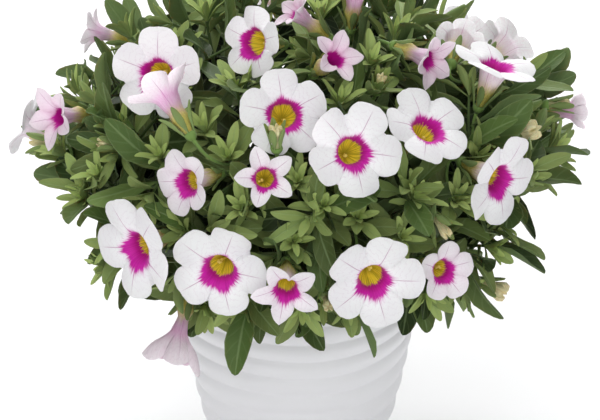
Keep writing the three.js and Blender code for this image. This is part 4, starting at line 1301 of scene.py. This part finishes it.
def corolla(work, place, axes, opened, reach, shape, columns, seed):
    """One skin from deep in the tube, up the funnel, over the lobed rim and down the back.

    With w from -1 to 1 across a lobe, close-set at its edges, the rim ends at 1 - notch |w|^blunt
    of the limb, times a size of its own for each lobe. A lobe curls about its midline: with q
    the way out from it as a part of its half width b, a point moves to b sin(k q)/k beside the
    midline and b (1 - cos(k q))/k in front of it. k is above 0 in half-open blooms, whose edges
    fold in, and below it in wide ones."""
    rng = np.random.default_rng(seed)
    lobes = BLOOM["lobes"]
    each = columns // lobes
    across = np.tile(np.sin((np.arange(each) / each - 0.5) * np.pi), lobes)
    lobe = np.repeat(np.arange(lobes), each)
    middle = 2 * np.pi * (lobe + 0.5) / lobes
    angle = middle + across * np.pi / lobes
    folded = max(BLOOM["flat_from"] - opened, 0)
    sizes = 1 + LIMB["sizes"] * (rng.random(lobes) - 0.5)
    ripples = sum(size * np.sin(waves * angle + 6 * rng.random()) for waves, size in RIM_RIPPLES)
    rim = 1 - shape["notch"] * np.abs(across) ** shape["blunt"]
    rim = rim * (1 + (sizes[lobe] - 1) * (1 - across**2)) + ripples
    shares = LIMB_ROWS[:, None]
    reached = shares * rim
    radius, height = limb_profile(reached, opened, reach)
    # The throat of a wide bloom is wider than its solid's, and that of a half-open one narrower.
    wide = np.clip((opened - 0.4) / 0.4, 0, 1)
    radius = radius + (LIMB["wider"] * wide - LIMB["narrower"]) * np.maximum(1 - reached / BLOOM["funnel"], 0)
    tilt = np.radians(BLOOM["shut"] + BLOOM["opening"] * opened)
    swings = LIMB["swing"] * rng.random((5, 1)) / FACE_WAVES**0.4
    swings = swings * np.cos(FACE_WAVES * angle + 6.28 * rng.random((5, 1)))
    height = height + swings.sum(0) * shares**2 * shape["ruffle"]
    # Where two lobes meet, one edge lies over the other.
    height = height + LIMB["overlap"] * np.sign(across) * np.abs(across) ** 7 * shares**2
    fade = np.clip((shares - (0.02 if folded else 0.15)) / 0.4, 0, 1)
    least, more = LIMB["roll_back"]
    curls = least + more * rng.random(lobes)[lobe]
    if folded:
        curls = min(folded * shape["curl"], LIMB["most_curl"])
    bend = np.where(np.abs(curls * fade) < 1e-3, 1e-3, curls * fade)
    along, beside = radius * np.cos(angle - middle), radius * np.sin(angle - middle)
    half = radius * np.sin(np.pi / lobes)
    turn = bend * beside / half
    beside = half * np.sin(turn) / bend
    before = half * (1 - np.cos(turn)) / bend
    along = along - before * np.cos(tilt)
    height = height + before * np.sin(tilt) + shape["lip"] * folded * shares**4 * reach
    x = along * np.cos(middle) - beside * np.sin(middle)
    y = along * np.sin(middle) + beside * np.cos(middle)
    wall = np.interp(LIMB_ROWS, [0, 0.5, 1], [0.6, 0.4, 0.2])[:, None]
    steep = np.interp(LIMB_ROWS, [0, BLOOM["funnel"]], [np.radians(BLOOM["throat_flare"]), tilt])[:, None]
    behind = 1 + wall * np.cos(steep) / np.maximum(np.hypot(x, y), 1)
    back = np.stack([x * behind, y * behind, height - wall * np.sin(steep)], -1)[::-1]
    flutes = 1 + LIMB["flutes"] * np.cos(lobes * angle)
    mouth = radius[0].mean()
    deep, down = TUBE_INSIDE[:, :1], TUBE_OUTSIDE[:, :1]
    inside = turned(angle, mouth * TUBE_INSIDE[:, 1:] * flutes, deep)
    outside = turned(angle, (mouth * TUBE_OUTSIDE[:, 1:2] + TUBE_OUTSIDE[:, 2:]) * flutes, down)
    skin = np.concatenate([inside, np.stack([x, y, height], -1), back, outside])
    # Marks hold the way round the bloom and the share of the limb, below 0 in the tube.
    level = 0 * angle
    share = np.concatenate([deep / 10 + level, reached, reached[::-1], down / 10 + level])
    marks = turned(angle, 1 + 0 * share, share).reshape(-1, 3)
    marks = np.concatenate([[[0, 1, -0.95]], marks, [[0, 1, -1.6]]])
    # The ring reaches further out on the side that hangs lowest.
    low = -(axes[:2] @ UP)
    hang = (np.cos(angle) * low[0] + np.sin(angle) * low[1]) / max(np.linalg.norm(low), 0.3)
    least, more = LIMB["ring"]
    ring = (shape["ring"] if folded else least + more * rng.random()) + LIMB["hang"] * hang
    blush = np.clip(shape["pink"] * (0.8 + 0.5 * across**2), 0, 0.9)
    tones = np.stack([ring, blush, level + rng.random() * 9], -1)
    tones = np.tile(tones, (len(skin), 1))
    tones = np.concatenate([tones[:1], tones, tones[:1]])
    behind_from = columns * (len(deep) + len(LIMB_ROWS))
    finish = [BACK if k >= behind_from else FACE for k in range(columns * (len(skin) + 1))]
    poles = place + POLE_INSIDE * axes[2], place + POLE_OUTSIDE * axes[2]
    work.skin(poles[0], place + skin @ axes, poles[1], finish, marks, tones)
    stamens(work, place, axes, rng)


def stamens(work, place, axes, rng):
    """Four anthers and a stigma, beads sqrt(1 - t^2) wide, that stand to one side in the throat."""
    lean = unit(rng.random(2) - 0.5)
    stations = np.linspace(-0.88, 0.88, 5)
    yellow = (0.5, 0.5, 0)
    for k in range(5):
        spot = lean * (1.2 + 0.6 * (k % 2)) + 0.9 * (rng.random(2) - 0.5)
        top = (*spot, -4.2 - 0.35 * k)
        size = 0.6 if k == 0 else 0.48
        knob = place + np.array(top) @ axes + axes[2] * (stations * size)[:, None]
        bead = size * np.sqrt(1 - stations**2)
        tube(work, knob, np.repeat(axes[2:3], 5, 0), bead, 8, axes[0], POLLEN, yellow)
        thread = place + np.array([(0, 0, -9), (*spot * 0.7, -7), top]) @ axes
        tube(work, thread, unit(np.gradient(thread, axis=0)), np.full(3, 0.18), 5, axes[0], POLLEN, yellow)


class CALIBRACHOA_OT_blooms(bpy.types.Operator):
    """Build the open, half-open and closing blooms"""

    bl_idname = "calibrachoa.blooms"
    bl_label = "Blooms"

    def execute(self, context):
        settings = context.scene.calibrachoa_bloom
        materials = [petal_face_finish(settings), petal_back_finish(settings), pollen_finish(settings)]
        for k, (name, *_, opened, reach, _) in enumerate(BLOOMS):
            work = Patchwork()
            place, axes, _ = FLOWERS[name]
            shape = HALF_OPEN.get(k + 1, CUP) if opened < BLOOM["flat_from"] else OPEN
            corolla(work, place, axes, opened, reach, shape, settings.columns, FIRST_BLOOM_SEED + k)
            work.piece(name + "_corolla", materials, "petal", [name])
        return {"FINISHED"}


# Rows of a faded bloom from its foot to its pinched mouth, and its width along them. The width at
# the foot is in mm, and the others are shares of the mouth's radius. Its floor is a share of its
# length, and its folds are waves round it: their height, number and turn from bloom to bloom.
FADED_ROWS = np.array([-1, -0.9, -0.75, -0.6, -0.45, -0.3, -0.18, -0.08, -0.02, 0.03, 0.06])[:, None]
FADED_AT, FADED_FOOT, FADED_WIDTHS = (-1, -0.6, -0.35, -0.08, 0.03, 0.06), 1.4, (0.5, 0.72, 1, 0.8, 0.35)
FADED_FLOOR = -0.06
FADED_FOLDS = ((0.16, 5, 1), (0.07, 3, 2), (0.05, 11, 0))


class CALIBRACHOA_OT_faded(bpy.types.Operator):
    """Build the faded blooms and the buds"""

    bl_idname = "calibrachoa.faded"
    bl_label = "Faded Blooms and Buds"

    def execute(self, context):
        material = faded_finish(context.scene.calibrachoa_bloom)
        angle = angles_round(40)
        for k, (name, *_, mouth, length) in enumerate(BUDS + TINY_BUDS):
            work = Patchwork()
            widths = np.interp(FADED_ROWS, FADED_AT, (FADED_FOOT / mouth, *FADED_WIDTHS))
            pucker = sum(size * np.cos(waves * angle + turn * k) for size, waves, turn in FADED_FOLDS)
            radius = mouth * widths * (1 + pucker * np.clip(FADED_ROWS + 1, 0, 1) ** 1.5)
            tips = 0.09 * np.cos(5 * angle + k) * np.clip(FADED_ROWS * 6 + 1, 0, 1)
            local = turned(angle, radius, length * (FADED_ROWS + tips))
            poles = np.array([(0, 0, -length), (0, 0, FADED_FLOOR * length)])
            marks = np.concatenate([poles[:1], local.reshape(-1, 3), poles[1:]])
            marks = marks * (1, 1, 1 / length) + (0.01, 0, 0)
            place, axes, _ = FLOWERS[name]
            poles = place + poles @ axes
            work.skin(poles[0], place + local @ axes, poles[1], 0, marks, (0.3, 0, k))
            nodes = [] if name.startswith("tiny") else [name]
            work.piece(name + "_corolla", [material], "faded_petal", nodes)
        return {"FINISHED"}


# ---------------------------------------------------------------- stage

TARGET = np.array([0.0008, 0, 0.1133])
FLOOR_HALF = 6.0
# name, azimuth, elevation, distance and size of each light, in degrees and metres, and its setting
LIGHTS = (
    ("key_light", -24, 40, 1.6, 1.3, "key"),
    ("fill_light", 14, 9, 1.8, 1.4, "fill"),
    ("top_light", 170, 80, 1.8, 2.2, "top"),
    ("floor_light", 180, 45, 2.4, 2.0, "back"),
)


def aimed(thing, turn, lift, away):
    """Puts a light or the camera at a distance from the target, looking at it."""
    bpy.context.scene.collection.objects.link(thing)
    back = facing(turn, lift)
    side = unit(np.cross(UP, back))
    turned_to = np.column_stack([side, np.cross(back, side), back, TARGET + back * away])
    thing.matrix_world = Matrix([*turned_to.tolist(), (0, 0, 0, 1)])


class CALIBRACHOA_OT_stage(bpy.types.Operator):
    """Build the floor, the soft light and the camera"""

    bl_idname = "calibrachoa.stage"
    bl_label = "Stage"

    def execute(self, context):
        scene, settings = context.scene, context.scene.calibrachoa_stage
        mesh = bpy.data.meshes.new("floor")
        corners = [(x * FLOOR_HALF, y * FLOOR_HALF, 0) for x, y in ((-1, -1), (1, -1), (1, 1), (-1, 1))]
        mesh.from_pydata(corners, [], [(0, 1, 2, 3)])
        floor = bpy.data.objects.new("floor", mesh)
        scene.collection.objects.link(floor)
        finish = Finish("pale_floor", 0.9, specular_ior_level=0.1)
        finish.colour(settings.floor)
        mesh.materials.append(finish.material)
        for name, turn, lift, away, size, power in LIGHTS:
            light = bpy.data.lights.new(name, "AREA")
            light.size, light.energy = size, getattr(settings, power)
            aimed(bpy.data.objects.new(name, light), turn, lift, away)
        scene.world = bpy.data.worlds.new("soft_studio")
        scene.world.use_nodes = True
        background = scene.world.node_tree.nodes["Background"]
        background.inputs["Color"].default_value = (1, 1, 1, 1)
        background.inputs["Strength"].default_value = settings.ambient
        scene.view_settings.view_transform = "Standard"
        lens = bpy.data.cameras.new("camera")
        lens.lens, lens.sensor_width, lens.clip_start = settings.lens, 36, 0.05
        scene.camera = bpy.data.objects.new("camera", lens)
        aimed(scene.camera, 0, settings.elevation, settings.distance)
        return {"FINISHED"}


# ---------------------------------------------------------------- panel and registration

OPERATORS = (
    CALIBRACHOA_OT_pot,
    CALIBRACHOA_OT_soil,
    CALIBRACHOA_OT_foliage,
    CALIBRACHOA_OT_blooms,
    CALIBRACHOA_OT_faded,
    CALIBRACHOA_OT_stage,
)
SETTINGS = {
    "calibrachoa_pot": PotSettings,
    "calibrachoa_leaf": LeafSettings,
    "calibrachoa_bloom": BloomSettings,
    "calibrachoa_stage": StageSettings,
}


class CALIBRACHOA_PT_panel(bpy.types.Panel):
    """Lists the pieces in the order they are built"""

    bl_idname = "CALIBRACHOA_PT_panel"
    bl_label = "Calibrachoa"
    bl_space_type = "VIEW_3D"
    bl_region_type = "UI"
    bl_category = "Calibrachoa"

    def draw(self, context):
        for operator in OPERATORS:
            self.layout.operator(operator.bl_idname)
        for name, group in SETTINGS.items():
            box = self.layout.box()
            for label in group.__annotations__:
                box.prop(getattr(context.scene, name), label)


def register():
    for kind in (*SETTINGS.values(), *OPERATORS, CALIBRACHOA_PT_panel):
        bpy.utils.register_class(kind)
    for name, group in SETTINGS.items():
        setattr(bpy.types.Scene, name, bpy.props.PointerProperty(type=group))


def unregister():
    for name in SETTINGS:
        delattr(bpy.types.Scene, name)
    for kind in reversed((*SETTINGS.values(), *OPERATORS, CALIBRACHOA_PT_panel)):
        bpy.utils.unregister_class(kind)


def main():
    register()
    bpy.ops.calibrachoa.pot()
    bpy.ops.calibrachoa.soil()
    bpy.ops.calibrachoa.foliage()
    bpy.ops.calibrachoa.blooms()
    bpy.ops.calibrachoa.faded()
    bpy.ops.calibrachoa.stage()


if __name__ == "__main__":
    main()
